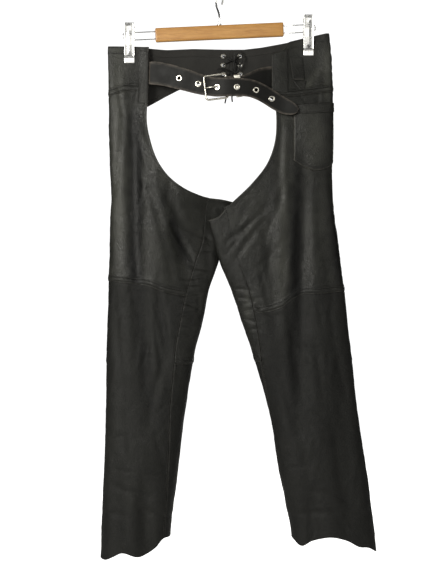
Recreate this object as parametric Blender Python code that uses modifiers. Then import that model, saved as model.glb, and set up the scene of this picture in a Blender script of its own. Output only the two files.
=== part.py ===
"""Leather chaps hanging from a clip hanger.

Sizes are in millimetres until a mesh is made. X runs to the right of the garment
seen from the front, the front faces -Y, and heights are given as a drop below the
seat of the hanger's hook, which is the origin. L is the side at -X, R the side at +X.
"""

import math
from collections import namedtuple

import bmesh
import bpy
import numpy as np
from mathutils import Matrix, Vector

MM = 0.001
GAP = 0.3  # between pieces that touch
LAID = 0.8  # under a piece laid on a panel, whose facets bow out a little
WALL = 1.4  # garment leather
STRAP = 3.0  # belt leather
BUCKLE_STRAP = 2.5
SIDES = {"L": 1, "R": -1}

# Each leg from the waist to the hem: how far its outer and inner edges lie from the
# centre line, its depth from front to back, the share of that depth left at the inner
# side, how far the inner side leans back, and where the inner seam runs, in degrees round
# the front from the outseam. Above the crotch the two legs share one waist ring.
Section = namedtuple("Section", "drop outer inner depth thin lean seam")
LEGS = {
    "L": (
        Section(84, -224, 226, 15, 1.0, 0, 123),
        Section(112, -225, 226, 20, 1.0, 0, 123),
        Section(146, -225, 226, 26, 1.0, 0, 123),
        Section(232, -222, 215, 40, 1.0, 0, 123),
        Section(302, -221, 140, 48, 0.9, 3, 123),
        Section(362, -219, 80, 54, 0.7, 9, 123),
        Section(422, -217, 35, 58, 0.45, 15, 123),
        Section(463, -219, 22, 60, 0.45, 15, 125),
        Section(502, -220, 11, 62, 0.5, 13, 128),
        Section(544, -221, 0, 64, 0.65, 8, 125),
        Section(602, -223, -21, 68, 0.9, 2, 125),
        Section(662, -225, -33, 74, 1.0, 0, 123),
        Section(722, -227, -49, 80, 1.0, 0, 125),
        Section(842, -229, -69, 88, 1.0, 0, 130),
        Section(962, -233, -83, 98, 1.0, 0, 138),
        Section(1082, -237, -97, 107, 1.0, 0, 145),
        Section(1144, -239.5, -98, 110, 1.0, 0, 146),
    ),
    "R": (
        Section(84, 220, -224, 15, 1.0, 0, 134),
        Section(112, 223, -225, 20, 1.0, 0, 134),
        Section(146, 226, -225, 26, 1.0, 0, 134),
        Section(232, 227, -215, 40, 1.0, 0, 134),
        Section(302, 227, -135, 48, 0.9, -3, 134),
        Section(362, 227, -75, 54, 0.7, -9, 134),
        Section(422, 229, -38, 58, 0.45, -15, 134),
        Section(463, 232, -24, 60, 0.45, -15, 134),
        Section(502, 238, -12, 62, 0.5, -13, 134),
        Section(544, 243, 0, 63, 0.65, -8, 134),
        Section(602, 251, 24, 64, 0.9, -2, 134),
        Section(662, 257, 43, 66, 1.0, 0, 137),
        Section(722, 264, 63, 69, 1.0, 0, 145),
        Section(842, 277, 99, 75, 1.0, 0, 169),
        Section(962, 295, 119, 81, 1.0, 0, 180),
        Section(1082, 311, 143, 87, 1.0, 0, 180),
        Section(1144, 317, 147, 88, 1.0, 0, 180),
    ),
}
ROUNDNESS = 0.8  # under 1 the tube's sides are fuller than an ellipse
LEAN_FROM, LEAN_FULL = 0.45, 0.85  # shares of the width where the inner lean begins and is whole

# The clips grip the waist, so the leather is flat there and swells out below.
Clip = namedtuple("Clip", "x top bottom")
CLIPS = {"L": Clip(-181, 66, 146), "R": Clip(179, 50, 131)}
CLIP_WIDTH = 20
PINCH_HALF = 2.0  # from the middle plane to the leather's outer face under a jaw
PINCH_FLAT, PINCH_SIDE, PINCH_BELOW = 16, 24, 44

# Long soft troughs from one point to another, on the front or the back of a leg.
Fold = namedtuple("Fold", "face x drop to_x to_drop width depth")
FOLDS = {
    "L": (
        Fold("front", -176, 150, -166, 590, 17, 13),
        Fold("front", -170, 470, -138, 900, 19, 8),
        Fold("front", -106, 350, -62, 600, 15, 7),
        Fold("front", -128, 590, -106, 800, 15, 6),
        Fold("front", -208, 880, -200, 1180, 18, 6),
        Fold("front", -150, 960, -140, 1200, 17, 9),
        Fold("back", -178, 170, -160, 640, 18, 12),
        Fold("back", -120, 420, -84, 760, 17, 7),
        Fold("back", -186, 700, -176, 1180, 20, 9),
    ),
    "R": (
        Fold("front", 168, 300, 158, 900, 18, 12),
        Fold("front", 205, 370, 226, 640, 16, 6),
        Fold("front", 92, 420, 112, 700, 15, 5),
        Fold("front", 236, 700, 262, 1150, 20, 7),
        Fold("front", 182, 980, 190, 1200, 15, 8),
        Fold("back", 170, 160, 176, 640, 18, 12),
        Fold("back", 96, 430, 118, 720, 16, 7),
        Fold("back", 214, 640, 236, 1160, 20, 9),
    ),
}

# Edges of the garment, from the centre line and the hook seat.
Point = namedtuple("Point", "x drop")
TOP_BACK = (
    Point(-225, 112), Point(-166, 114), Point(-107, 118), Point(-53, 115.6), Point(9, 117),
    Point(51, 117), Point(85, 113), Point(137, 103.6), Point(166, 97.6), Point(221, 86),
)
TOP_FRONT = {
    "L": (Point(-225, 112), Point(-166, 113), Point(-142, 114)),
    "R": (Point(105, 130), Point(130, 120), Point(140, 104), Point(166, 97.6), Point(221, 86)),
}
YOKE_DROP = 210
YOKE_FRONT = {
    "L": (Point(-223, 213), Point(-191, 201), Point(-142, 202)),
    "R": (Point(105, 214), Point(148, 214), Point(168, 211), Point(223, 204)),
}
YOKE_BACK = (
    Point(-223, 213), Point(-193, 228), Point(-165, 236), Point(-145, 232), Point(-110, 212),
    Point(-83, 198), Point(-39, 184), Point(25, 180), Point(60, 187), Point(90, 204),
    Point(118, 225), Point(141, 236), Point(171, 236), Point(200, 222), Point(223, 204),
)
OPENING_FRONT = {
    "L": (
        Point(-25, 417), Point(-66, 401), Point(-94, 382), Point(-121, 348), Point(-138, 303),
        Point(-145, 268), Point(-145, 234), Point(-142, 202),
    ),
    "R": (
        Point(15, 437), Point(29, 424), Point(65, 389), Point(96, 348), Point(111, 303),
        Point(113.5, 268), Point(112, 240), Point(105, 214),
    ),
}
OPENING_INSIDE = {
    "L": (Point(-25, 417), Point(6, 420), Point(33, 426)),
    "R": (Point(15, 437), Point(-4, 457), Point(-24, 463)),
}
OPENING_BACK = {
    "L": (
        Point(33, 426), Point(5, 428), Point(-50, 418), Point(-95, 396), Point(-125, 364),
        Point(-148, 320), Point(-162, 280), Point(-165, 236),
    ),
    "R": (
        Point(-24, 463), Point(0, 463), Point(42, 443), Point(78, 410), Point(104, 370),
        Point(124, 325), Point(138, 280), Point(141, 236),
    ),
}
CENTRE_BACK = 25  # the lacing sits to the right of the centre line

Knee = namedtuple("Knee", "share drop")
KNEE_FRONT = {
    "L": (Knee(0.0, 584), Knee(0.4, 594), Knee(0.53, 604), Knee(0.75, 613), Knee(0.8, 612)),
    "R": (
        Knee(0.0, 604), Knee(0.23, 609), Knee(0.39, 611), Knee(0.49, 622),
        Knee(0.59, 636), Knee(0.79, 648), Knee(0.85, 644),
    ),
}
KNEE_BACK = {"L": 750, "R": 746}

Hem = namedtuple("Hem", "share front back")
HEMS = {
    "L": (
        Hem(0, 1138, 1138), Hem(0.08, 1138, 1136), Hem(0.19, 1131, 1132), Hem(0.33, 1122, 1128),
        Hem(0.58, 1129, 1117), Hem(0.8, 1112, 1108), Hem(0.9, 1096, 1100), Hem(1, 1094, 1094),
    ),
    "R": (
        Hem(0, 1126, 1126), Hem(0.1, 1115, 1120), Hem(0.22, 1112, 1108), Hem(0.36, 1099, 1100),
        Hem(0.56, 1092, 1097), Hem(0.77, 1101, 1104), Hem(0.9, 1111, 1106), Hem(1, 1098, 1098),
    ),
}

# How finely the panels are divided.
SHIN_ROWS, CALF_ROWS, THIGH_ROWS, EDGE_ROWS = 11, 5, 8, 8
FRONT_COLUMNS, BACK_COLUMNS = 13, 16
INSIDE_COLUMNS, EDGE_COLUMNS, HIP_COLUMNS = 4, 9, 11  # along the top of a thigh's back panel
YOKE_COLUMNS, YOKE_ROWS = 9, 6  # from there to the centre back

# Pieces laid on the hips.
Strip = namedtuple("Strip", "edge inner top_edge top_inner bottom_edge bottom_inner")
STRIPS = {
    "L": Strip(-142.4, -162, 123, 122, 228, 228),
    "R": Strip(105.4, 137, 131, 119, 204, 208),
}
STRIP_RISE = 0.4  # the strip's middle stands this far proud, as a stitched casing does
POCKET_LEFT, POCKET_RIGHT_ANGLE = 148, 0.1
POCKET_TOP = (Point(148, 233), Point(228, 227))
POCKET_BOTTOM = (
    Point(148, 343), Point(158, 350), Point(170, 357), Point(188, 363.5),
    Point(203, 362), Point(219, 355), Point(228, 345),
)
POCKET_FULLNESS = 9
POCKET_HEM = 0.15  # share of its height
TAB_TOP, TAB_BOTTOM = 135, 181
TAB_EDGES = ((140, 167), (146.5, 170.5))  # left and right edges, at the top and at the bottom
TAB_OFF = 1.2
TIP_TOP, TIP_BOTTOM = 184, 201

# The belt strap from the left hip through the buckle to its tail.
Station = namedtuple("Station", "x drop width y")
BELT = (
    Station(-140.2, 167, 45, -8.0),
    Station(-133, 167.2, 46, -10.2),
    Station(-111, 171, 45, -15),
    Station(-67, 184, 43, -26),
    Station(-40, 193, 40, -31.5),
    Station(-29, 196, 38.5, -32.7),
    Station(-18, 198, 37.5, -33.6),
    Station(-4, 200, 37.5, -38.2),
    Station(8, 200.5, 37, -42.4),
    Station(18, 200.5, 37, -43.8),
    Station(40, 200.5, 36, -43.2),
    Station(63, 203, 35, -40.5),
    Station(81, 209, 35, -35),
    Station(100, 219, 34, -28.5),
    Station(116, 229, 33, -26.5),
    Station(130, 236, 31, -26.5),
    Station(143, 241, 26, -28.5),
    Station(151, 243.5, 18, -29.5),
    Station(156, 245, 7, -30),
)
BELT_HOLES = (-80, -42, -4, 34, 72, 104)
EYELET_BORE, EYELET_BARREL, EYELET_FLANGE, EYELET_RIM = 3.5, 4.4, 6.4, 0.8

# The buckle: a bent wire frame, its heel bar, the strap folded round that bar, the prong.
FRONT_BAR_X, HEEL_BAR_X = -29, 15
BUCKLE_DROP, BUCKLE_HEIGHT, BUCKLE_TILT = 199, 48, math.radians(7)
BUCKLE_Y, BUCKLE_WIRE = -36.5, 4.0
BUCKLE_CORNER = 5.5
BUCKLE_STRAP_ROUTE = (
    Station(122, 180, 54, -7),
    Station(104, 181, 54, -9.5),
    Station(82, 184, 48, -20),
    Station(62, 190, 40, -28.5),
    Station(42, 195.6, 36, -32.6),
    Station(24, 197.9, 35, -32.95),
)
PRONG_WIRE, PRONG_SLOT = 2.6, 9
PRONG_ROUTE = (
    (10, -0.6, -39.0), (6, -1.4, -36.6), (2, -2.4, -34.2), (-1.2, -3, -33.7), (-3.4, -3.2, -36.3),
    (-5.4, -3.4, -40.2), (-7.8, -3.6, -43.4), (-12, -4, -43.6), (-22, -4.8, -41.6), (-31, -5.8, -40.4),
)
KEEPER_X, KEEPER_WIDTH, KEEPER_HEIGHT, KEEPER_DEPTH, KEEPER_WALL = 37, 12, 44, 8.8, 1.2
KEEPER_Y, KEEPER_DROP = -34.3, 196.3

# The lacing at the centre back.
LACE_ROWS = (130, 148, 166)
LACE_HALF = 17
LACE_WIRE = 3.0
LACE_BORE, LACE_BARREL, LACE_FLANGE = 2.6, 3.4, 5.5
LACE_CLEAR = 3.3  # from the leather's face to the middle of a thong lying on it
LACE_LOOPS = {
    "a": (
        (30.2, 7, 165.3), (36, 4, 162), (42, 0.5, 150), (46, -0.5, 134), (41, -1.5, 122),
        (33, -0.5, 128), (29.5, 1.5, 146), (27.8, 4, 158), (27, 6.2, 163.1),
    ),
    "b": (
        (19.5, 6.4, 167.3), (14, 4, 169.8), (8, 1.5, 172), (-2, -0.5, 168), (-4, -0.5, 159),
        (5, 0.5, 157), (16, 3, 158.6), (22.5, 6.3, 162.7),
    ),
}
LACE_ENDS = {
    "a": ((23.1, 5.4, 169.9), (19.5, 0.5, 178), (17, -2.5, 190), (15, -2.5, 204), (13, -1.5, 217), (11, -0.5, 227)),
    "b": ((26.9, 5.4, 169.9), (30.5, 0.5, 178), (29, -2.5, 191), (27, -2.5, 204), (25, -1.5, 216), (26, -0.5, 224)),
}

# The hanger.
BAR_LENGTH, BAR_HEIGHT, BAR_DEPTH, BAR_DROP, BAR_TILT = 258, 28, 12, 84, math.radians(2.6)
BOW_HALF, BOW_WIRE = 7.5, 2.4
BOW_REACH = 14  # past the clip's middle
BARREL_RADIUS = 5.8
CLIP_SHEET = 1.2
HOOK_WIRE, HOOK_RADIUS, HOOK_TURN = 4.0, 20, math.radians(-70)

LEATHER = ("black_leather", (0.012, 0.012, 0.011), 0.42, 0.0)
BELT_LEATHER = ("belt_leather", (0.009, 0.009, 0.009), 0.6, 0.0)
NICKEL = ("nickel", (0.72, 0.70, 0.64), 0.25, 1.0)
CHROME = ("chrome", (0.80, 0.80, 0.80), 0.2, 1.0)
WOOD = ("varnished_wood", (0.55, 0.27, 0.08), 0.4, 0.0)

CHAPS = bpy.data.collections.new("chaps")
CUTTERS = bpy.data.collections.new("cutters")


# Small helpers for tables and curves.

def smooth(table, key, column, value):
    """The column's value at key = value, on a smooth curve through the table's rows."""
    keys = [getattr(row, key) for row in table]
    values = [getattr(row, column) for row in table]
    if value <= keys[0]:
        return values[0]
    if value >= keys[-1]:
        return values[-1]
    i = max(k for k in range(len(keys) - 1) if keys[k] <= value)
    step = keys[i + 1] - keys[i]
    t = (value - keys[i]) / step

    def slope(k):
        a, b = max(k - 1, 0), min(k + 1, len(keys) - 1)
        return (values[b] - values[a]) / (keys[b] - keys[a])

    start, end = values[i], values[i + 1]
    rise_in, rise_out = slope(i) * step, slope(i + 1) * step
    return (
        (2 * t**3 - 3 * t**2 + 1) * start + (t**3 - 2 * t**2 + t) * rise_in
        + (3 * t**2 - 2 * t**3) * end + (t**3 - t**2) * rise_out
    )


def straight(table, key, column, value):
    return float(np.interp(value, [getattr(r, key) for r in table], [getattr(r, column) for r in table]))


def ease(low, high, value):
    t = min(max((value - low) / (high - low), 0), 1)
    return t * t * (3 - 2 * t)


def spaced(points, count):
    """count points evenly spaced along a smooth curve through the given points."""
    route = np.array(points, float)
    chord = np.concatenate([[0], np.cumsum(np.linalg.norm(np.diff(route, axis=0), axis=1))])
    slopes = np.gradient(route, chord, axis=0)
    fine = []
    for value in np.linspace(0, chord[-1], 24 * len(route)):
        i = min(np.searchsorted(chord, value, side="right") - 1, len(route) - 2)
        step = chord[i + 1] - chord[i]
        t = (value - chord[i]) / step
        fine.append(
            (2 * t**3 - 3 * t**2 + 1) * route[i] + (t**3 - 2 * t**2 + t) * step * slopes[i]
            + (3 * t**2 - 2 * t**3) * route[i + 1] + (t**3 - t**2) * step * slopes[i + 1]
        )
    fine = np.array(fine)
    length = np.concatenate([[0], np.cumsum(np.linalg.norm(np.diff(fine, axis=0), axis=1))])
    wanted = np.linspace(0, length[-1], count)
    return np.column_stack([np.interp(wanted, length, fine[:, k]) for k in range(route.shape[1])])


# The garment's surface.

def pinch(side, x, drop):
    clip = CLIPS[side]
    across = max(0, abs(x - clip.x) - PINCH_FLAT) / PINCH_SIDE
    below = max(0, drop - clip.bottom - 8) / PINCH_BELOW
    return math.exp(-across**2 - below**2)


def fold_depth(side, face, x, drop):
    total = 0
    for fold in FOLDS[side]:
        t = (drop - fold.drop) / (fold.to_drop - fold.drop)
        if fold.face == face and 0 < t < 1:
            away = (x - fold.x - (fold.to_x - fold.x) * t) / fold.width
            total += fold.depth * math.sin(math.pi * t) ** 0.7 * math.exp(-away**2)
    return total


def leg_point(side, angle, drop):
    """A point of the outer face. Angle 0 is the outseam, positive the front, pi the inner leg."""
    table = LEGS[side]
    outer, inner, depth, thin, lean = (
        smooth(table, "drop", name, drop) for name in ("outer", "inner", "depth", "thin", "lean")
    )
    share = (1 - math.cos(angle)) / 2
    x = outer + (inner - outer) * share
    face = 1 if math.sin(angle) < 0 else -1
    swell = abs(math.sin(angle)) ** ROUNDNESS
    inward = ease(LEAN_FROM, LEAN_FULL, share)
    half = depth / 2 * (1 - (1 - thin) * inward) * swell
    half -= fold_depth(side, "back" if face > 0 else "front", x, drop) * swell
    grip = pinch(side, x, drop)
    half = half * (1 - grip) + PINCH_HALF * grip * min(1, swell * 2)
    return np.array([x, lean * inward + face * half, -drop])


def leg_normal(side, angle, drop):
    """The outward direction there."""
    across = leg_point(side, angle + 0.012, drop) - leg_point(side, angle - 0.012, drop)
    down = leg_point(side, angle, drop + 1.5) - leg_point(side, angle, drop - 1.5)
    normal = np.cross(down, across) * SIDES[side]
    return normal / np.linalg.norm(normal)


def angle_at(side, x, drop, face="front"):
    outer = smooth(LEGS[side], "drop", "outer", drop)
    inner = smooth(LEGS[side], "drop", "inner", drop)
    share = min(max((x - outer) / (inner - outer), 0), 1)
    angle = math.acos(1 - 2 * share)
    return angle if face == "front" else 2 * math.pi - angle


def seam_angle(side, drop):
    return math.radians(min(smooth(LEGS[side], "drop", "seam", drop), 180))


# Meshes.

def material(finish):
    name, colour, roughness, metallic = finish
    made = bpy.data.materials.get(name)
    if made is None:
        made = bpy.data.materials.new(name)
        made.use_nodes = True
        shader = made.node_tree.nodes["Principled BSDF"]
        shader.inputs["Base Color"].default_value = (*colour, 1)
        shader.inputs["Roughness"].default_value = roughness
        shader.inputs["Metallic"].default_value = metallic
    return made


def add(name, data, finish, collection=CHAPS):
    obj = bpy.data.objects.new(name, data)
    data.materials.append(material(finish))
    collection.objects.link(obj)
    if obj.type == "MESH":
        data.shade_smooth()
        data.set_sharp_from_angle(angle=math.radians(35))
    return obj


def mesh_from(name, points, faces):
    shape = bmesh.new()
    corners = [shape.verts.new(Vector(p) * MM) for p in points]
    for face in faces:
        shape.faces.new([corners[i] for i in face])
    bmesh.ops.recalc_face_normals(shape, faces=shape.faces)
    data = bpy.data.meshes.new(name)
    shape.to_mesh(data)
    shape.free()
    return data


def wall(name, outside, inside, finish):
    """One closed wall between two grids of points, rows by columns."""
    rows, columns = outside.shape[:2]
    count = rows * columns
    at = np.arange(count).reshape(rows, columns)
    faces = []
    for i in range(rows - 1):
        for j in range(columns - 1):
            square = (at[i, j], at[i, j + 1], at[i + 1, j + 1], at[i + 1, j])
            faces.append(square)
            faces.append(tuple(corner + count for corner in reversed(square)))
    rim = [*at[0, :], *at[1:, -1], *at[-1, -2::-1], *at[-2:0:-1, 0]]
    for a, b in zip(rim, rim[1:] + rim[:1]):
        faces.append((b, a, a + count, b + count))
    points = np.concatenate([outside.reshape(-1, 3), inside.reshape(-1, 3)])
    return add(name, mesh_from(name, points, faces), finish)


def drawn_in(grid, sides, distance=GAP / 2):
    """The grid with the named border rows or columns moved inwards, which leaves a gap at a seam."""
    grid = grid.copy()
    borders = {
        "first": (np.s_[0, :], np.s_[1, :]),
        "last": (np.s_[-1, :], np.s_[-2, :]),
        "start": (np.s_[:, 0], np.s_[:, 1]),
        "end": (np.s_[:, -1], np.s_[:, -2]),
    }
    for side in sides:
        edge, beside = borders[side]
        way = grid[beside] - grid[edge]
        grid[edge] += way / np.linalg.norm(way, axis=-1, keepdims=True) * distance
    return grid


def leather(name, side, places, seams=(), lift=0.0, thickness=WALL, finish=LEATHER):
    """A wall of leather on the garment's surface. Places is a grid of (angle, drop), lift its height above it."""
    points = np.array([[leg_point(side, *p) for p in row] for row in places])
    normals = np.array([[leg_normal(side, *p) for p in row] for row in places])
    rise = np.asarray(lift, float)
    if rise.ndim:
        rise = rise[..., None]
    outside = points + normals * rise
    inside = outside - normals * thickness
    return wall(name, drawn_in(outside, seams), drawn_in(inside, seams), finish)


def rows_between(starts, ends, columns, low=None, high=None):
    """Rows of (angle, drop) from each start to each end, bent at the first and last row to the true lines."""
    last = len(starts) - 1
    rows = np.array([
        [np.array(a) + (np.array(b) - np.array(a)) * j / (columns - 1) for j in range(columns)]
        for a, b in zip(starts, ends)
    ])
    for line, row, power in ((low, 0, 2), (high, last, 3)):
        if line is None:
            continue
        for j in range(columns):
            miss = line(*rows[row, j]) - rows[row, j, 1]
            for k in range(last + 1):
                rows[k, j, 1] += miss * (1 - abs(k - row) / last) ** power
    return rows


# The lines where the panels meet.

def share_at(angle):
    return (1 - math.cos(angle)) / 2


def hem_line(side):
    def line(angle, _drop):
        column = "back" if math.sin(angle) < 0 else "front"
        return smooth(HEMS[side], "share", column, share_at(angle))
    return line


def knee_line(side):
    return lambda angle, _drop: smooth(KNEE_FRONT[side], "share", "drop", share_at(angle))


def x_line(side, table):
    return lambda angle, _drop: straight(table, "x", "drop", leg_point(side, angle, YOKE_DROP)[0])


def yoke_front_line(side):
    return x_line(side, YOKE_FRONT[side])


def yoke_back_line(side):
    return x_line(side, YOKE_BACK)


def outer_rows(low, high, count):
    """Points of the outseam from one drop to another."""
    return [(0, drop) for drop in np.linspace(low, high, count)]


def round_to_back(points):
    """The same points of the outseam, reached round the back of the leg."""
    return [(2 * math.pi, drop) for _angle, drop in points]


def seam_rows(side, low, high, count):
    """Points of the inner seam from one drop to another."""
    return [(seam_angle(side, d), d) for d in np.linspace(low, high, count)]


def edge_rows(side, points, count, face="front"):
    """Points along an edge of the opening, without its first one."""
    route = spaced(points, count + 1)[1:]
    return [(angle_at(side, x, drop, face), drop) for x, drop in route]


def make_leg(side):
    """The four panels of a leg. Rows that meet at a seam start and end at the same places."""
    hem, knee = hem_line(side), knee_line(side)
    outer_hem, outer_knee, outer_yoke = hem(0, 0), knee(0, 0), yoke_front_line(side)(0, 0)
    hem_end = hem(seam_angle(side, outer_hem), 0)
    knee_end = knee(seam_angle(side, outer_knee), 0)
    back_knee = KNEE_BACK[side]
    crotch = OPENING_FRONT[side][0].drop
    split = crotch - 12

    shin_ends = seam_rows(side, hem_end, back_knee, SHIN_ROWS)
    shin_starts = outer_rows(outer_hem, back_knee, SHIN_ROWS)
    calf_ends = seam_rows(side, back_knee, knee_end, CALF_ROWS)[1:]
    calf_starts = outer_rows(back_knee, outer_knee, CALF_ROWS)[1:]
    thigh_ends = seam_rows(side, knee_end, crotch, THIGH_ROWS)
    thigh_starts = outer_rows(outer_knee, split, THIGH_ROWS)

    rows = rows_between(
        shin_starts + calf_starts, shin_ends + calf_ends, FRONT_COLUMNS, hem, knee
    )
    leather(f"shin_front_{side}", side, rows, ("last", "start", "end"))

    rows = rows_between(
        thigh_starts + outer_rows(split, outer_yoke, EDGE_ROWS + 1)[1:],
        thigh_ends + edge_rows(side, OPENING_FRONT[side], EDGE_ROWS),
        FRONT_COLUMNS, knee, yoke_front_line(side),
    )
    leather(f"thigh_front_{side}", side, rows, ("first", "last", "start", "end"))

    rows = rows_between(shin_ends, round_to_back(shin_starts), BACK_COLUMNS, hem)
    leather(f"shin_back_{side}", side, rows, ("last", "start", "end"))

    seam = [drop for _angle, drop in shin_ends[-1:] + calf_ends + thigh_ends[1:]]
    leather(f"thigh_back_{side}", side, thigh_back_rows(side, seam), ("first", "last", "start", "end"))


def thigh_back_rows(side, seam):
    """The back panel's grid: columns run up from the back knee to the opening's edge and the yoke."""
    knee, crotch = seam[0], seam[-1]
    top = [(seam_angle(side, crotch), crotch)]
    top += edge_rows(side, OPENING_INSIDE[side], INSIDE_COLUMNS)
    top += edge_rows(side, OPENING_BACK[side], EDGE_COLUMNS, "back")
    yoke = yoke_back_line(side)
    top += [(a, yoke(a, 0)) for a in np.linspace(top[-1][0], 2 * math.pi, HIP_COLUMNS)[1:]]
    start_low, start_high = seam_angle(side, knee), top[0][0]
    bottom = np.linspace(start_low, 2 * math.pi, len(top))
    rows = []
    for drop in seam:
        t = (knee - drop) / (knee - crotch)
        miss = seam_angle(side, drop) - (start_low + (start_high - start_low) * t)
        row = []
        for column, (low_angle, (high_angle, high)) in enumerate(zip(bottom, top)):
            angle = low_angle + (high_angle - low_angle) * t + miss * (1 - column / (len(top) - 1)) ** 2
            row.append((angle, knee + (high - knee) * t))
        rows.append(row)
    return rows


def make_yoke(side):
    """The hip piece, from its front edge round the side to the laced centre back."""
    front_x, back_x = OPENING_FRONT[side][-1].x, OPENING_BACK[side][-1].x
    centre_x = CENTRE_BACK - GAP / 2 * SIDES[side]

    def angles(front_drop, back_drop, centre_drop):
        front = angle_at(side, front_x, front_drop)
        back = angle_at(side, back_x, back_drop, "back") - 2 * math.pi
        centre = angle_at(side, centre_x, centre_drop, "back") - 2 * math.pi
        return [
            *np.linspace(front, 0, FRONT_COLUMNS),
            *np.linspace(0, back, HIP_COLUMNS)[1:],
            *np.linspace(back, centre, YOKE_COLUMNS)[1:],
        ]

    low_angles = angles(
        OPENING_FRONT[side][-1].drop, OPENING_BACK[side][-1].drop,
        straight(YOKE_BACK, "x", "drop", CENTRE_BACK),
    )
    rows = []
    for t in np.linspace(0, 1, YOKE_ROWS):
        row = []
        for column, low_angle in enumerate(low_angles):
            x = leg_point(side, low_angle, YOKE_DROP)[0]
            front = column < FRONT_COLUMNS - 1
            low = (yoke_front_line if front else yoke_back_line)(side)(low_angle, 0)
            high = straight(TOP_FRONT[side] if front else TOP_BACK, "x", "drop", x)
            drop = low + (high - low) * t
            shift = angles(drop, drop, drop)[column] - angles(low, low, low)[column]
            row.append((low_angle + shift, drop))
        rows.append(row)
    yoke = leather(f"hip_yoke_{side}", side, rows, ("first",))
    for drop in LACE_ROWS:
        x = CENTRE_BACK - LACE_HALF * SIDES[side]
        cut(yoke, back_point(x, drop), back_normal(x, drop), LACE_BARREL + GAP, 8)


def back_point(x, drop):
    """The outer face of the back yoke."""
    side = "L" if x < CENTRE_BACK else "R"
    return leg_point(side, angle_at(side, x, drop, "back"), drop)


def back_normal(x, drop):
    side = "L" if x < CENTRE_BACK else "R"
    return leg_normal(side, angle_at(side, x, drop, "back"), drop)


def place(obj, point, way):
    obj.rotation_mode = "QUATERNION"
    obj.rotation_quaternion = Vector((0, 0, 1)).rotation_difference(Vector(way))
    obj.location = Vector(point) * MM


def cut(obj, point, way, radius, length):
    """Bores a round hole through a piece."""
    shape = bmesh.new()
    bmesh.ops.create_cone(
        shape, cap_ends=True, segments=14, radius1=radius * MM, radius2=radius * MM, depth=length * MM
    )
    name = f"bore_{obj.name}_{len(obj.modifiers)}"
    data = bpy.data.meshes.new(name)
    shape.to_mesh(data)
    shape.free()
    cutter = bpy.data.objects.new(name, data)
    CUTTERS.objects.link(cutter)
    cutter.hide_render = True
    cutter.display_type = "WIRE"
    place(cutter, point, way)
    bore = obj.modifiers.new(name, "BOOLEAN")
    bore.operation = "DIFFERENCE"
    bore.object = cutter


def make_strip(side):
    strip = STRIPS[side]
    rows = []
    for t in np.linspace(0, 1, 8):
        row = []
        for s in np.linspace(0, 1, 4):
            x = strip.edge + (strip.inner - strip.edge) * s
            top = strip.top_edge + (strip.top_inner - strip.top_edge) * s
            bottom = strip.bottom_edge + (strip.bottom_inner - strip.bottom_edge) * s
            drop = bottom + (top - bottom) * t
            row.append((angle_at(side, x, drop), drop))
        rows.append(row)
    rise = LAID + WALL + np.tile([0, STRIP_RISE, STRIP_RISE, 0], (8, 1))
    leather(f"front_strip_{side}", side, rows, (), rise)


def pocket_place(u, v):
    """Where the pocket lies on the thigh: u from its left edge to the side, v from its bottom to its top."""
    middle = (POCKET_TOP[0].drop + POCKET_BOTTOM[0].drop) / 2

    def angle_in(drop):
        left = angle_at("R", POCKET_LEFT, drop)
        return left + (POCKET_RIGHT_ANGLE - left) * u

    x = leg_point("R", angle_in(middle), middle)[0]
    top = straight(POCKET_TOP, "x", "drop", x)
    bottom = straight(POCKET_BOTTOM, "x", "drop", x)
    drop = bottom + (top - bottom) * v
    return angle_in(drop), drop


def make_pocket():
    across = np.linspace(0, 1, 12)
    up = np.linspace(0, 1, 11)
    rows = [[pocket_place(u, v) for u in across] for v in up]
    rise = [[LAID + WALL + pocket_swell(u, v) for u in across] for v in up]
    leather("pocket_R", "R", rows, (), rise)
    up = np.linspace(1 - POCKET_HEM, 1, 3)
    rows = [[pocket_place(u, v) for u in across] for v in up]
    rise = [[LAID + 2 * WALL + 2 * GAP + pocket_swell(u, v) for u in across] for v in up]
    leather("pocket_hem_R", "R", rows, (), rise)


def pocket_swell(across, up):
    """How far the pocket stands off the thigh: nothing at its stitched edges, a little at its mouth."""
    sides = math.sin(math.pi * min(max(across, 0), 1)) ** 0.6 if 0 < across < 1 else 0
    height = math.sin(math.pi * min(up / 1.35, 1)) ** 0.5 if up > 0 else 0
    return POCKET_FULLNESS * sides * height


def make_tab():
    """The hanging tab on the right hip, and the pointed piece that shows below it."""
    rows = []
    for t in np.linspace(0, 1, 5):
        left = TAB_EDGES[1][0] + (TAB_EDGES[0][0] - TAB_EDGES[1][0]) * t
        right = TAB_EDGES[1][1] + (TAB_EDGES[0][1] - TAB_EDGES[1][1]) * t
        drop = TAB_BOTTOM + (TAB_TOP - TAB_BOTTOM) * t
        rows.append([(angle_at("R", x, drop), drop) for x in np.linspace(right, left, 4)])
    rise = TAB_OFF + WALL + np.tile([0, 0.6, 0.6, 0], (5, 1))
    leather("hip_tab_R", "R", rows, (), rise)
    rows = []
    for t in np.linspace(0, 1, 4):
        drop = TIP_BOTTOM + (TIP_TOP - TIP_BOTTOM) * t
        left = 163 + (148 - 163) * t ** 0.7
        right = 167 + (174 - 167) * t ** 0.7
        rows.append([(angle_at("R", x, drop), drop) for x in np.linspace(right, left, 4)])
    leather("hip_tab_point_R", "R", rows, (), LAID + WALL)


# Belt, buckle and eyelets.

def ribbon(name, route, widths, thickness, finish, lean=0.0, across=3):
    """A strap of rectangular section along a route of points, its width upright or leaning."""
    route = np.asarray(route, float)
    way = np.gradient(route, axis=0)
    way /= np.linalg.norm(way, axis=1, keepdims=True)
    upright = np.array([-math.sin(lean), 0, math.cos(lean)])
    up = upright - way * (way @ upright)[:, None]
    up /= np.linalg.norm(up, axis=1, keepdims=True)
    face = np.cross(up, way)
    share = np.linspace(-0.5, 0.5, across)[None, :, None]
    middle = route[:, None] + up[:, None] * share * np.asarray(widths)[:, None, None]
    half = face[:, None] * thickness / 2
    return wall(name, middle + half, middle - half, finish)


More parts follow.
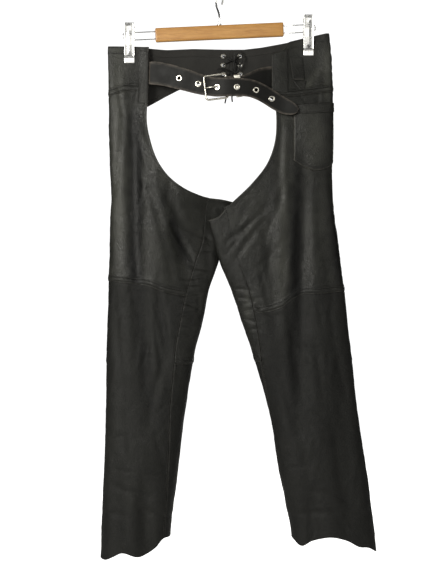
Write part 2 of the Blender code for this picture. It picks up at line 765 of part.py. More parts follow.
def strap_route(stations, count):
    rows = spaced([(s.x, s.y, -s.drop, s.width) for s in stations], count)
    return rows[:, :3], rows[:, 3]


def belt_frame(x):
    """The middle of the belt at that distance from the centre line, and the way its face looks."""
    route, _ = strap_route(BELT, 400)
    i = int(np.abs(route[:, 0] - x).argmin())
    way = route[i + 3] - route[i - 3]
    face = np.cross((0, 0, 1), way)
    return route[i], face / np.linalg.norm(face)


def eyelet(name, point, way, bore, barrel, flange, grip, steps):
    """A turned eyelet: a barrel with a flange at each end. Grip is half the distance between the flanges."""
    rim = grip + EYELET_RIM
    profile = (
        (bore, rim), (flange, rim), (flange, grip), (barrel, grip),
        (barrel, -grip), (flange, -grip), (flange, -rim), (bore, -rim),
    )
    shape = bmesh.new()
    corners = [shape.verts.new(Vector((r, 0, z)) * MM) for r, z in profile]
    for a, b in zip(corners, corners[1:] + corners[:1]):
        shape.edges.new((a, b))
    data = bpy.data.meshes.new(name)
    shape.to_mesh(data)
    shape.free()
    obj = add(name, data, NICKEL)
    turn = obj.modifiers.new("turned", "SCREW")
    turn.axis = "Z"
    turn.steps = turn.render_steps = steps
    turn.use_merge_vertices = True
    turn.merge_threshold = 0.00001
    place(obj, point, way)
    return obj


def make_belt():
    route, widths = strap_route(BELT, 43)
    belt = ribbon("belt_strap", route, widths, STRAP, BELT_LEATHER)
    for number, x in enumerate(BELT_HOLES, 1):
        centre, face = belt_frame(x)
        cut(belt, centre, face, EYELET_BARREL + GAP, 12)
        eyelet(
            f"belt_eyelet_{number}", centre, face, EYELET_BORE, EYELET_BARREL, EYELET_FLANGE,
            STRAP / 2 + GAP, 10,
        )


def make_buckle_strap():
    """Comes from the right hip, folds round the heel bar and lies on itself."""
    route, widths = strap_route(BUCKLE_STRAP_ROUTE, 16)
    radius = BUCKLE_WIRE / 2 + GAP + BUCKLE_STRAP / 2
    width = BUCKLE_STRAP_ROUTE[-1].width
    slope = math.tan(BUCKLE_TILT)
    heel_drop = BUCKLE_DROP - (HEEL_BAR_X - FRONT_BAR_X) / 2 * math.sin(BUCKLE_TILT)

    def on_buckle(x, y):
        return (x, y, -heel_drop + (x - HEEL_BAR_X) * slope)

    turn = [
        on_buckle(HEEL_BAR_X - radius * math.sin(a), BUCKLE_Y + radius * math.cos(a))
        for a in np.linspace(0, math.pi, 9)
    ]
    front = BUCKLE_Y - radius
    back = [on_buckle(x, front + off) for x, off in ((20, 0.2), (25, 1.8), (30, 3.9), (37, 4.5), (44, 4.7))]
    route = np.concatenate([route, turn, back])
    widths = np.concatenate([widths, np.full(len(turn) + len(back), width)])
    strap = ribbon("buckle_strap", route, widths, BUCKLE_STRAP, BELT_LEATHER, BUCKLE_TILT)
    slot = block("prong_slot", (HEEL_BAR_X - 0.5, BUCKLE_Y, -heel_drop), (13, 13, PRONG_SLOT))
    slot.hide_render = True
    slot.display_type = "WIRE"
    through = strap.modifiers.new("slot", "BOOLEAN")
    through.operation = "DIFFERENCE"
    through.object = slot


def block(name, centre, size):
    """A plain box among the cutters."""
    shape = bmesh.new()
    bmesh.ops.create_cube(shape, size=1)
    bmesh.ops.scale(shape, vec=Vector(size) * MM, verts=shape.verts)
    data = bpy.data.meshes.new(name)
    shape.to_mesh(data)
    shape.free()
    obj = bpy.data.objects.new(name, data)
    obj.location = Vector(centre) * MM
    CUTTERS.objects.link(obj)
    return obj


def tube(name, points, diameter, finish, closed=False, sides=2):
    """A round wire, thong or bar on a route of points."""
    data = bpy.data.curves.new(name, "CURVE")
    data.dimensions = "3D"
    data.bevel_depth = diameter / 2 * MM
    data.bevel_resolution = sides
    data.use_fill_caps = not closed
    line = data.splines.new("POLY")
    line.points.add(len(points) - 1)
    for corner, point in zip(line.points, points):
        corner.co = (*(Vector(point) * MM), 1)
    line.use_cyclic_u = closed
    return add(name, data, finish)


def make_buckle():
    half_x, half_z = (HEEL_BAR_X - FRONT_BAR_X) / 2, BUCKLE_HEIGHT / 2
    middle = Vector(((HEEL_BAR_X + FRONT_BAR_X) / 2, BUCKLE_Y, -BUCKLE_DROP))
    turn = Matrix.Rotation(-BUCKLE_TILT, 3, "Y")
    corners = ((1, 1), (-1, 1), (-1, -1), (1, -1))
    points = []
    for quarter, (sx, sz) in enumerate(corners):
        for a in np.linspace(0, math.pi / 2, 5) + quarter * math.pi / 2:
            x = sx * (half_x - BUCKLE_CORNER) + BUCKLE_CORNER * math.cos(a)
            z = sz * (half_z - BUCKLE_CORNER) + BUCKLE_CORNER * math.sin(a)
            points.append(middle + turn @ Vector((x, 0, z)))
    tube("buckle_frame", points, BUCKLE_WIRE, NICKEL, closed=True)
    radius = BUCKLE_WIRE / 2 + GAP + PRONG_WIRE / 2
    heel = -BUCKLE_DROP + half_x * math.sin(BUCKLE_TILT)
    loop = [
        (HEEL_BAR_X - radius * math.cos(a), BUCKLE_Y + radius * math.sin(a), heel)
        for a in np.linspace(0.15, math.radians(262), 12)
    ]
    arm = [(x, y, heel + rise) for x, rise, y in PRONG_ROUTE]
    tube("buckle_prong", loop + list(spaced([loop[-1]] + arm, 20)[1:]), PRONG_WIRE, NICKEL, sides=1)


def make_keeper():
    """A flat metal loop round the folded buckle strap."""
    centre = Vector((KEEPER_X, KEEPER_Y, -KEEPER_DROP))
    points = [
        (sx * KEEPER_HEIGHT / 2, sy * KEEPER_DEPTH / 2) for sx, sy in ((-1, -1), (1, -1), (1, 1), (-1, 1))
    ]
    shape = bmesh.new()
    ring = [shape.verts.new(Vector((-KEEPER_WIDTH / 2, y, z)) * MM) for z, y in points]
    edges = [shape.edges.new((a, b)) for a, b in zip(ring, ring[1:] + ring[:1])]
    swept = bmesh.ops.extrude_edge_only(shape, edges=edges)["geom"]
    moved = [v for v in swept if isinstance(v, bmesh.types.BMVert)]
    bmesh.ops.translate(shape, vec=Vector((KEEPER_WIDTH * MM, 0, 0)), verts=moved)
    bmesh.ops.recalc_face_normals(shape, faces=shape.faces)
    data = bpy.data.meshes.new("belt_keeper")
    shape.to_mesh(data)
    shape.free()
    obj = add("belt_keeper", data, NICKEL)
    skin = obj.modifiers.new("sheet", "SOLIDIFY")
    skin.thickness = KEEPER_WALL * MM
    skin.offset = 0
    skin.use_even_offset = True
    obj.location = centre * MM
    obj.rotation_euler = (0, -BUCKLE_TILT, 0)


def lace_frame(column, drop, off):
    """A point on an eyelet's axis, off in front of the back yoke's inner face, or behind its outer one if negative."""
    x = CENTRE_BACK + column * LACE_HALF
    outer = back_point(x, drop)
    y = outer[1] - WALL - off if off >= 0 else outer[1] - off
    return np.array([x, y, -drop])


def make_lacing():
    grip = WALL / 2 + GAP + 0.1
    for row, drop in enumerate(LACE_ROWS, 1):
        for label, column in (("L", -1), ("R", 1)):
            x = CENTRE_BACK + column * LACE_HALF
            way = back_normal(x, drop)
            centre = back_point(x, drop) - way * WALL / 2
            eyelet(
                f"lace_eyelet_{label}{row}", centre, way, LACE_BORE, LACE_BARREL, LACE_FLANGE, grip, 8
            )
    top, middle, low = LACE_ROWS
    near, far = LACE_CLEAR, LACE_CLEAR + LACE_WIRE + GAP
    through = 1.9
    for label, column in (("a", 1), ("b", -1)):
        cross = near if label == "a" else far
        route = [
            lace_frame(column * 0.05, top, -near),
            lace_frame(column * 0.6, top, -near),
            lace_frame(column, top, -through),
            lace_frame(column, top, through),
            lace_frame(column * 0.75, top + 3, near),
            lace_frame(0, (top + middle) / 2, cross),
            lace_frame(-column * 0.75, middle - 3, near),
            lace_frame(-column, middle, through),
            lace_frame(-column, middle, -through),
            lace_frame(-column * 0.75, middle + 3, -near),
            lace_frame(0, (middle + low) / 2, -cross),
            lace_frame(column * 0.75, low - 3, -near),
            lace_frame(column, low, -through),
            lace_frame(column, low, through),
            lace_frame(column * 0.8, low + 1, near),
            lace_frame(column * 0.4, low + 1, near + 1),
        ]
        tube(f"lace_{label}", spaced(route, 52), LACE_WIRE, LEATHER, sides=1)
    knot = bmesh.new()
    bmesh.ops.create_uvsphere(knot, u_segments=12, v_segments=8, radius=1)
    bmesh.ops.scale(knot, vec=Vector((5.6, 4.2, 5.0)) * MM, verts=knot.verts)
    data = bpy.data.meshes.new("lace_knot")
    knot.to_mesh(data)
    knot.free()
    obj = add("lace_knot", data, LEATHER)
    obj.location = Vector((CENTRE_BACK, lace_frame(0, low, near + 1)[1], -low - 1)) * MM
    for label, points in LACE_LOOPS.items():
        route = [(x, y, -drop) for x, y, drop in points]
        tube(f"lace_loop_{label}", spaced(route, 22), LACE_WIRE, LEATHER, sides=1)
    for label, points in LACE_ENDS.items():
        route = [(x, y, -drop) for x, y, drop in points]
        tube(f"lace_end_{label}", spaced(route, 14), LACE_WIRE, LEATHER)


# The hanger.

def on_bar(along, rise):
    """A point of the tilted bar, from its middle."""
    return Vector((
        along * math.cos(BAR_TILT) - rise * math.sin(BAR_TILT),
        0,
        -BAR_DROP + along * math.sin(BAR_TILT) + rise * math.cos(BAR_TILT),
    ))


def make_bar():
    shape = bmesh.new()
    bmesh.ops.create_cube(shape, size=1)
    bmesh.ops.scale(shape, vec=Vector((BAR_LENGTH, BAR_DEPTH, BAR_HEIGHT)) * MM, verts=shape.verts)
    data = bpy.data.meshes.new("hanger_bar")
    shape.to_mesh(data)
    shape.free()
    bar = add("hanger_bar", data, WOOD)
    bar.location = on_bar(0, 0) * MM
    bar.rotation_euler = (0, -BAR_TILT, 0)
    soft = bar.modifiers.new("rounded", "BEVEL")
    soft.width = 2.5 * MM
    soft.segments = 2


def make_bow(side):
    """The wire bow that carries a clip: out from the bar, round beyond the clip and back."""
    way = -1 if side == "L" else 1
    start = BAR_LENGTH / 2 + GAP
    end = abs(CLIPS[side].x) + BOW_REACH - BOW_HALF
    turn = [
        on_bar(way * (end + BOW_HALF * math.sin(a)), BOW_HALF * math.cos(a)) for a in np.linspace(0, math.pi, 9)
    ]
    points = [on_bar(way * start, BOW_HALF), *turn, on_bar(way * start, -BOW_HALF)]
    tube(f"hanger_wire_{side}", points, BOW_WIRE, CHROME)


def make_clip(side):
    clip = CLIPS[side]
    axis = -on_bar(clip.x, 0).z
    jaw = PINCH_HALF + GAP
    profile = (
        (-clip.top, BARREL_RADIUS + 3.2),
        (-clip.top - 6, BARREL_RADIUS + 2.4),
        (-axis, BARREL_RADIUS + GAP),
        (-axis - 18, BARREL_RADIUS - 0.6),
        (-clip.bottom + 13, jaw + 0.9),
        (-clip.bottom + 11, jaw),
        (-clip.bottom, jaw),
    )
    for name, face in (("front", -1), ("back", 1)):
        inner = np.array([
            [(x, face * y, z) for x in (clip.x - CLIP_WIDTH / 2, clip.x + CLIP_WIDTH / 2)]
            for z, y in profile
        ])
        outer = inner + np.array([0, face * CLIP_SHEET, 0])
        wall(f"clip_{name}_{side}", outer, inner, CHROME)
    shape = bmesh.new()
    bmesh.ops.create_cone(
        shape, cap_ends=True, segments=16, radius1=BARREL_RADIUS * MM, radius2=BARREL_RADIUS * MM,
        depth=(CLIP_WIDTH - 4) * MM,
    )
    data = bpy.data.meshes.new(f"clip_spring_{side}")
    shape.to_mesh(data)
    shape.free()
    barrel = add(f"clip_spring_{side}", data, CHROME)
    place(barrel, (clip.x, 0, -axis), (math.cos(BAR_TILT), 0, math.sin(BAR_TILT)))


def make_hook():
    """Stands on the bar and turns over so that its inner top is the origin."""
    centre = HOOK_WIRE / 2 - HOOK_RADIUS
    stem = [(0, -BAR_DROP + BAR_HEIGHT / 2 + GAP), (0, -62), (0, -54), (-2.4, -47), (-8, -39.5)]
    turn = [
        (HOOK_RADIUS * math.cos(a), centre + HOOK_RADIUS * math.sin(a))
        for a in np.linspace(math.radians(225), math.radians(-42), 22)
    ]
    points = [(u * math.cos(HOOK_TURN), u * math.sin(HOOK_TURN), z) for u, z in stem + turn]
    tube("hanger_hook", points, HOOK_WIRE, CHROME)


def main():
    for obj in list(bpy.data.objects):
        bpy.data.objects.remove(obj)
    for collection in (CHAPS, CUTTERS):
        bpy.context.scene.collection.children.link(collection)
    for side in SIDES:
        make_leg(side)
        make_yoke(side)
        make_strip(side)
        make_bow(side)
        make_clip(side)
    make_pocket()
    make_tab()
    make_belt()
    make_buckle_strap()
    make_buckle()
    make_keeper()
    make_lacing()
    make_bar()
    make_hook()


main()
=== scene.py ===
"""Looks of the leather chaps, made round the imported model.

Tables and routes are in millimetres, as the part's own source has them, and meshes are in
metres. X runs to the right seen from the front, the front faces -Y, and a drop is measured
down from the seat of the hanger's hook, which is the origin. L is the side at -X.
"""

import math
from collections import namedtuple

import bmesh
import bpy
import numpy as np
from mathutils import Matrix, Vector


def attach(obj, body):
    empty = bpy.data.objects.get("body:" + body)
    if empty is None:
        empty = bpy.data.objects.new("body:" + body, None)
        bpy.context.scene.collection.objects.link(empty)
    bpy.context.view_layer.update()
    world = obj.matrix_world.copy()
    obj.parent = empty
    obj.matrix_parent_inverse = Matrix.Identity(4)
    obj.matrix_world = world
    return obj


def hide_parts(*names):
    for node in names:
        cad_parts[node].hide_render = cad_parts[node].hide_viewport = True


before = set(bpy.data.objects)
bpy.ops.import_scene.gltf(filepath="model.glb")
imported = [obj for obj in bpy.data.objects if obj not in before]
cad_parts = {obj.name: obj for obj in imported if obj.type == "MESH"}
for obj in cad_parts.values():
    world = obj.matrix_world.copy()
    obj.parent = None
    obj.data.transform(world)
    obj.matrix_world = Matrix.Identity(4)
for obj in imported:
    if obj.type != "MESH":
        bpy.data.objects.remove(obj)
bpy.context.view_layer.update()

bl_info = {
    "name": "Leather chaps on a clip hanger",
    "version": (1, 0, 0),
    "blender": (4, 5, 0),
    "location": "3D View > Sidebar > Chaps",
    "description": "Leather, stitching, metal and wood for the chaps",
    "category": "Object",
}

MM = 0.001
WALL = 1.4
STRAP = 3.0
BUCKLE_STRAP = 2.5
GAP = 0.3
TURNING = 0.9  # what a turned edge adds to the wall
THREAD_LIFT = 0.12
STRAP_MARGIN = 3.2
LAID = 0.8
FACING = {"L": 1, "R": -1}

# Each leg from the waist to the hem, as the solids have it.
Section = namedtuple("Section", "drop outer inner depth thin lean seam")
LEGS = {
    "L": (
        Section(84, -224, 226, 15, 1.0, 0, 123),
        Section(112, -225, 226, 20, 1.0, 0, 123),
        Section(146, -225, 226, 26, 1.0, 0, 123),
        Section(232, -222, 215, 40, 1.0, 0, 123),
        Section(302, -221, 140, 48, 0.9, 3, 123),
        Section(362, -219, 80, 54, 0.7, 9, 123),
        Section(422, -217, 35, 58, 0.45, 15, 123),
        Section(463, -219, 22, 60, 0.45, 15, 125),
        Section(502, -220, 11, 62, 0.5, 13, 128),
        Section(544, -221, 0, 64, 0.65, 8, 125),
        Section(602, -223, -21, 68, 0.9, 2, 125),
        Section(662, -225, -33, 74, 1.0, 0, 123),
        Section(722, -227, -49, 80, 1.0, 0, 125),
        Section(842, -229, -69, 88, 1.0, 0, 130),
        Section(962, -233, -83, 98, 1.0, 0, 138),
        Section(1082, -237, -97, 107, 1.0, 0, 145),
        Section(1144, -239.5, -98, 110, 1.0, 0, 146),
    ),
    "R": (
        Section(84, 220, -224, 15, 1.0, 0, 134),
        Section(112, 223, -225, 20, 1.0, 0, 134),
        Section(146, 226, -225, 26, 1.0, 0, 134),
        Section(232, 227, -215, 40, 1.0, 0, 134),
        Section(302, 227, -135, 48, 0.9, -3, 134),
        Section(362, 227, -75, 54, 0.7, -9, 134),
        Section(422, 229, -38, 58, 0.45, -15, 134),
        Section(463, 232, -24, 60, 0.45, -15, 134),
        Section(502, 238, -12, 62, 0.5, -13, 134),
        Section(544, 243, 0, 63, 0.65, -8, 134),
        Section(602, 251, 24, 64, 0.9, -2, 134),
        Section(662, 257, 43, 66, 1.0, 0, 137),
        Section(722, 264, 63, 69, 1.0, 0, 145),
        Section(842, 277, 99, 75, 1.0, 0, 169),
        Section(962, 295, 119, 81, 1.0, 0, 180),
        Section(1082, 311, 143, 87, 1.0, 0, 180),
        Section(1144, 317, 147, 88, 1.0, 0, 180),
    ),
}
ROUNDNESS = 0.8
LEAN_FROM, LEAN_FULL = 0.45, 0.85

Clip = namedtuple("Clip", "x top bottom")
CLIPS = {"L": Clip(-181, 66, 146), "R": Clip(179, 50, 131)}
CLIP_WIDTH = 20
PINCH_HALF = 2.0
PINCH_FLAT, PINCH_SIDE, PINCH_BELOW = 16, 24, 44

# The long soft troughs that the solids have.
Fold = namedtuple("Fold", "face x drop to_x to_drop width depth")
FOLDS = {
    "L": (
        Fold("front", -176, 150, -166, 590, 17, 13),
        Fold("front", -170, 470, -138, 900, 19, 8),
        Fold("front", -106, 350, -62, 600, 15, 7),
        Fold("front", -128, 590, -106, 800, 15, 6),
        Fold("front", -208, 880, -200, 1180, 18, 6),
        Fold("front", -150, 960, -140, 1200, 17, 9),
        Fold("back", -178, 170, -160, 640, 18, 12),
        Fold("back", -120, 420, -84, 760, 17, 7),
        Fold("back", -186, 700, -176, 1180, 20, 9),
    ),
    "R": (
        Fold("front", 168, 300, 158, 900, 18, 12),
        Fold("front", 205, 370, 226, 640, 16, 6),
        Fold("front", 92, 420, 112, 700, 15, 5),
        Fold("front", 236, 700, 262, 1150, 20, 7),
        Fold("front", 182, 980, 190, 1200, 15, 8),
        Fold("back", 170, 160, 176, 640, 18, 12),
        Fold("back", 96, 430, 118, 720, 16, 7),
        Fold("back", 214, 640, 236, 1160, 20, 9),
    ),
}

# Smaller creases: the middle, the turn from upright in degrees, length, width and depth.
Crease = namedtuple("Crease", "face x drop turn length width depth")
CREASES = {
    "L": (
        Crease("front", -196, 205, 4, 120, 7, 1.5),
        Crease("front", -160, 190, -6, 90, 6, 1.3),
        Crease("front", -205, 330, -3, 170, 9, 1.6),
        Crease("front", -150, 330, 9, 130, 8, 1.4),
        Crease("front", -128, 420, 24, 120, 9, 1.8),
        Crease("front", -84, 440, 38, 100, 9, 1.9),
        Crease("front", -75, 508, 24, 95, 7, 2.3),
        Crease("front", -112, 520, 12, 150, 9, 1.5),
        Crease("front", -36, 452, 70, 70, 6, 1.4),
        Crease("front", -44, 488, 58, 66, 6, 1.6),
        Crease("front", -47, 556, 84, 44, 4.5, 1.5),
        Crease("front", -52, 574, 96, 46, 4.5, 1.7),
        Crease("front", -50, 592, 80, 42, 4, 1.4),
        Crease("front", -56, 612, 92, 44, 4.5, 1.8),
        Crease("front", -60, 632, 78, 42, 4.5, 1.6),
        Crease("front", -62, 652, 95, 40, 4, 1.7),
        Crease("front", -66, 674, 84, 40, 4.5, 1.5),
        Crease("front", -68, 694, 92, 36, 4, 1.3),
        Crease("front", -108, 660, 8, 140, 9, 2.0),
        Crease("front", -150, 690, -4, 160, 12, 1.8),
        Crease("front", -196, 700, 3, 180, 10, 1.4),
        Crease("front", -122, 800, -8, 130, 10, 1.5),
        Crease("front", -184, 870, 5, 190, 12, 1.7),
        Crease("front", -108, 930, 14, 110, 9, 1.3),
        Crease("front", -170, 1000, 66, 90, 10, 1.4),
        Crease("front", -128, 1040, 78, 80, 9, 1.5),
        Crease("front", -206, 1052, 84, 60, 8, 1.1),
        Crease("back", -60, 470, 40, 120, 9, 1.9),
        Crease("back", -110, 540, 16, 150, 10, 1.8),
        Crease("back", -150, 690, 80, 90, 9, 2.1),
        Crease("back", -110, 716, 96, 100, 8, 2.0),
        Crease("back", -170, 738, 88, 80, 8, 1.7),
        Crease("back", -128, 776, 82, 110, 9, 1.9),
        Crease("back", -196, 420, -4, 190, 11, 1.8),
        Crease("back", -140, 900, 6, 170, 12, 1.8),
        Crease("back", -205, 960, -3, 160, 10, 1.5),
    ),
    "R": (
        Crease("front", 205, 175, 6, 80, 8, -1.7),
        Crease("front", 196, 206, -10, 70, 6, 1.2),
        Crease("front", 120, 300, -6, 120, 8, 1.3),
        Crease("front", 136, 380, 6, 150, 9, -1.8),
        Crease("front", 108, 440, -22, 120, 9, 1.6),
        Crease("front", 52, 470, -48, 96, 7, 1.9),
        Crease("front", 62, 505, -40, 110, 8, 1.7),
        Crease("front", 34, 500, -30, 80, 6, 1.6),
        Crease("front", 128, 520, -3, 170, 10, 1.6),
        Crease("front", 205, 480, 8, 150, 10, 1.4),
        Crease("front", 232, 430, 3, 160, 9, 1.3),
        Crease("front", 46, 604, 88, 34, 4.5, 1.6),
        Crease("front", 52, 622, 80, 32, 4, 1.7),
        Crease("front", 56, 641, 98, 32, 4.5, 1.9),
        Crease("front", 60, 662, 86, 30, 4, 1.5),
        Crease("front", 64, 684, 94, 30, 4.5, 1.4),
        Crease("front", 92, 640, 68, 64, 7, 1.7),
        Crease("front", 84, 590, 20, 80, 7, 1.5),
        Crease("front", 150, 690, 3, 200, 12, 2.0),
        Crease("front", 190, 760, 8, 170, 11, 1.5),
        Crease("front", 238, 720, 6, 190, 11, 1.6),
        Crease("front", 128, 820, 18, 130, 10, 1.5),
        Crease("front", 160, 900, 20, 150, 11, 1.6),
        Crease("front", 236, 930, 12, 150, 11, 1.4),
        Crease("front", 214, 1010, 68, 100, 10, 1.5),
        Crease("front", 256, 1040, 82, 84, 9, 1.4),
        Crease("front", 190, 1050, 92, 76, 8, 1.2),
        Crease("back", 70, 480, -42, 120, 9, 1.9),
        Crease("back", 122, 560, -14, 150, 10, 1.7),
        Crease("back", 150, 690, 82, 90, 9, 2.0),
        Crease("back", 196, 716, 92, 100, 8, 2.1),
        Crease("back", 130, 770, 86, 80, 8, 1.6),
        Crease("back", 190, 780, 98, 110, 9, 1.8),
        Crease("back", 206, 430, 4, 190, 11, 1.8),
        Crease("back", 180, 900, 10, 170, 12, 1.8),
        Crease("back", 256, 960, 14, 160, 10, 1.5),
    ),
}
LOOSE_CREASES = 64  # small ones scattered over each face of a leg
SCATTER_SEED = 41

# Slow swells and fine puckers of the whole surface: cell size in x, y and z, and height.
SWELLS = (
    ((44, 34, 120), 1.25, 3),
    ((22, 20, 40), 0.62, 5),
    ((10, 10, 13), 0.34, 7),
    ((5.5, 5.5, 6.5), 0.15, 9),
)

# Painted highlight and painted shade: where the colour is made lighter to stand for light on a ridge, or
# darker to stand for shade in a valley: a line, its width and amount.
LightBand = namedtuple("LightBand", "face x drop to_x to_drop width amount")
PAINTED_LIGHT_BANDS = {
    "L": (
        LightBand("front", -207, 120, -201, 560, 15, 0.62),
        LightBand("front", -167, 250, -166, 590, 12, -0.45),
        LightBand("front", -166, 560, -139, 830, 12, -0.35),
        LightBand("front", -138, 300, -96, 400, 15, 0.26),
        LightBand("front", -93, 352, -59, 422, 14, 0.22),
        LightBand("front", -123, 590, -108, 730, 9, -0.32),
        LightBand("front", -93, 460, -60, 560, 9, -0.32),
        LightBand("front", -206, 96, -200, 200, 14, 0.30),
        LightBand("front", -210, 640, -214, 1010, 18, 0.22),
        LightBand("front", -150, 880, -140, 1100, 30, 0.14),
        LightBand("back", -204, 200, -200, 720, 16, 0.34),
        LightBand("back", -170, 230, -162, 640, 12, -0.36),
        LightBand("back", -110, 460, -84, 700, 20, 0.24),
    ),
    "R": (
        LightBand("front", 127, 250, 127, 600, 9, 0.42),
        LightBand("front", 158, 330, 146, 880, 13, -0.36),
        LightBand("front", 175, 198, 199, 158, 9, 0.55),
        LightBand("front", 216, 120, 216, 226, 8, 0.45),
        LightBand("front", 55, 600, 56, 660, 7, 0.42),
        LightBand("front", 90, 380, 60, 520, 18, 0.16),
        LightBand("front", 186, 240, 190, 350, 22, 0.30),
        LightBand("front", 200, 380, 205, 600, 12, 0.10),
        LightBand("front", 222, 400, 240, 600, 14, -0.24),
        LightBand("front", 190, 900, 212, 1080, 28, 0.12),
        LightBand("front", 104, 660, 120, 900, 14, -0.22),
        LightBand("front", 170, 640, 215, 1130, 62, -0.12),
        LightBand("back", 204, 200, 214, 720, 16, 0.34),
        LightBand("back", 168, 230, 170, 640, 12, -0.36),
        LightBand("back", 110, 460, 116, 700, 20, 0.24),
    ),
}

Point = namedtuple("Point", "x drop")
TOP_BACK = (
    Point(-225, 112), Point(-166, 114), Point(-107, 118), Point(-53, 115.6), Point(9, 117),
    Point(51, 117), Point(85, 113), Point(137, 103.6), Point(166, 97.6), Point(221, 86),
)
TOP_FRONT = {
    "L": (Point(-225, 112), Point(-166, 113), Point(-142, 114)),
    "R": (Point(105, 130), Point(130, 120), Point(140, 104), Point(166, 97.6), Point(221, 86)),
}
YOKE_DROP = 210
YOKE_FRONT = {
    "L": (Point(-223, 213), Point(-191, 201), Point(-142, 202)),
    "R": (Point(105, 214), Point(148, 214), Point(168, 211), Point(223, 204)),
}
YOKE_BACK = (
    Point(-223, 213), Point(-193, 228), Point(-165, 236), Point(-145, 232), Point(-110, 212),
    Point(-83, 198), Point(-39, 184), Point(25, 180), Point(60, 187), Point(90, 204),
    Point(118, 225), Point(141, 236), Point(171, 236), Point(200, 222), Point(223, 204),
)
OPENING_FRONT = {
    "L": (
        Point(-25, 417), Point(-66, 401), Point(-94, 382), Point(-121, 348), Point(-138, 303),
        Point(-145, 268), Point(-145, 234), Point(-142, 202),
    ),
    "R": (
        Point(15, 437), Point(29, 424), Point(65, 389), Point(96, 348), Point(111, 303),
        Point(113.5, 268), Point(112, 240), Point(105, 214),
    ),
}
OPENING_INSIDE = {
    "L": (Point(-25, 417), Point(6, 420), Point(33, 426)),
    "R": (Point(15, 437), Point(-4, 457), Point(-24, 463)),
}
OPENING_BACK = {
    "L": (
        Point(33, 426), Point(5, 428), Point(-50, 418), Point(-95, 396), Point(-125, 364),
        Point(-148, 320), Point(-162, 280), Point(-165, 236),
    ),
    "R": (
        Point(-24, 463), Point(0, 463), Point(42, 443), Point(78, 410), Point(104, 370),
        Point(124, 325), Point(138, 280), Point(141, 236),
    ),
}
CENTRE_BACK = 25

Knee = namedtuple("Knee", "share drop")
KNEE_FRONT = {
    "L": (Knee(0.0, 584), Knee(0.4, 594), Knee(0.53, 604), Knee(0.75, 613), Knee(0.8, 612)),
    "R": (
        Knee(0.0, 604), Knee(0.23, 609), Knee(0.39, 611), Knee(0.49, 622),
        Knee(0.59, 636), Knee(0.79, 648), Knee(0.85, 644),
    ),
}
KNEE_BACK = {"L": 750, "R": 746}

Hem = namedtuple("Hem", "share front back")
HEMS = {
    "L": (
        Hem(0, 1138, 1138), Hem(0.08, 1138, 1136), Hem(0.19, 1131, 1132), Hem(0.33, 1122, 1128),
        Hem(0.58, 1129, 1117), Hem(0.8, 1112, 1108), Hem(0.9, 1096, 1100), Hem(1, 1094, 1094),
    ),
    "R": (
        Hem(0, 1126, 1126), Hem(0.1, 1115, 1120), Hem(0.22, 1112, 1108), Hem(0.36, 1099, 1100),
        Hem(0.56, 1092, 1097), Hem(0.77, 1101, 1104), Hem(0.9, 1111, 1106), Hem(1, 1098, 1098),
    ),
}

# Grid counts before the panels are divided evenly.
SHIN_ROWS, CALF_ROWS, THIGH_ROWS, EDGE_ROWS = 41, 17, 29, 32
FRONT_COLUMNS, BACK_COLUMNS = 49, 61
INSIDE_COLUMNS, EDGE_COLUMNS, HIP_COLUMNS = 16, 36, 41
YOKE_COLUMNS, YOKE_ROWS = 49, 21

Strip = namedtuple("Strip", "edge inner top_edge top_inner bottom_edge bottom_inner")
STRIPS = {
    "L": Strip(-142.4, -162, 123, 122, 228, 228),
    "R": Strip(105.4, 137, 131, 119, 204, 208),
}
POCKET_LEFT, POCKET_RIGHT_ANGLE = 148, 0.1
POCKET_TOP = (Point(148, 233), Point(228, 227))
POCKET_BOTTOM = (
    Point(148, 343), Point(158, 350), Point(170, 357), Point(188, 363.5),
    Point(203, 362), Point(219, 355), Point(228, 345),
)
POCKET_FULLNESS = 9
POCKET_HEM = 0.15
TAB_TOP, TAB_BOTTOM = 135, 181
TAB_EDGES = ((140, 167), (146.5, 170.5))
TAB_OFF = 1.2
TIP_TOP, TIP_BOTTOM = 184, 201
TIP_EDGES = ((148, 174), (163, 167))
TIP_BULGE = 0.7
PATCH_ACROSS = np.linspace(0, 1, 21)[None, :]
PATCH_UP = np.linspace(0, 1, 41)[:, None]

Station = namedtuple("Station", "x drop width y")
BELT = (
    Station(-140.2, 167, 45, -8.0), Station(-133, 167.2, 46, -10.2), Station(-111, 171, 45, -15),
    Station(-67, 184, 43, -26), Station(-40, 193, 40, -31.5), Station(-29, 196, 38.5, -32.7),
    Station(-18, 198, 37.5, -33.6), Station(-4, 200, 37.5, -38.2), Station(8, 200.5, 37, -42.4),
    Station(18, 200.5, 37, -43.8), Station(40, 200.5, 36, -43.2), Station(63, 203, 35, -40.5),
    Station(81, 209, 35, -35), Station(100, 219, 34, -28.5), Station(116, 229, 33, -26.5),
    Station(130, 236, 31, -26.5), Station(143, 241, 26, -28.5), Station(151, 243.5, 18, -29.5),
    Station(156, 245, 7, -30),
)
BELT_HOLES = (-80, -42, -4, 34, 72, 104)
BELT_EYELET = (3.5, 4.4, 6.4, 0.8)  # bore, barrel, flange and rim
FRONT_BAR_X, HEEL_BAR_X = -29, 15
BUCKLE_DROP, BUCKLE_HEIGHT, BUCKLE_TILT = 199, 48, math.radians(7)
BUCKLE_Y, BUCKLE_WIRE, BUCKLE_CORNER = -36.5, 4.0, 5.5
BUCKLE_STRAP_ROUTE = (
    Station(122, 180, 54, -7), Station(104, 181, 54, -9.5), Station(82, 184, 48, -20),
    Station(62, 190, 40, -28.5), Station(42, 195.6, 36, -32.6), Station(24, 197.9, 35, -32.95),
)
PRONG_WIRE, PRONG_SLOT = 2.6, 9
PRONG_ROUTE = (
    (10, -0.6, -39.0), (6, -1.4, -36.6), (2, -2.4, -34.2), (-1.2, -3, -33.7), (-3.4, -3.2, -36.3),
    (-5.4, -3.4, -40.2), (-7.8, -3.6, -43.4), (-12, -4, -43.6), (-22, -4.8, -41.6),
    (-31, -5.8, -40.4),
)
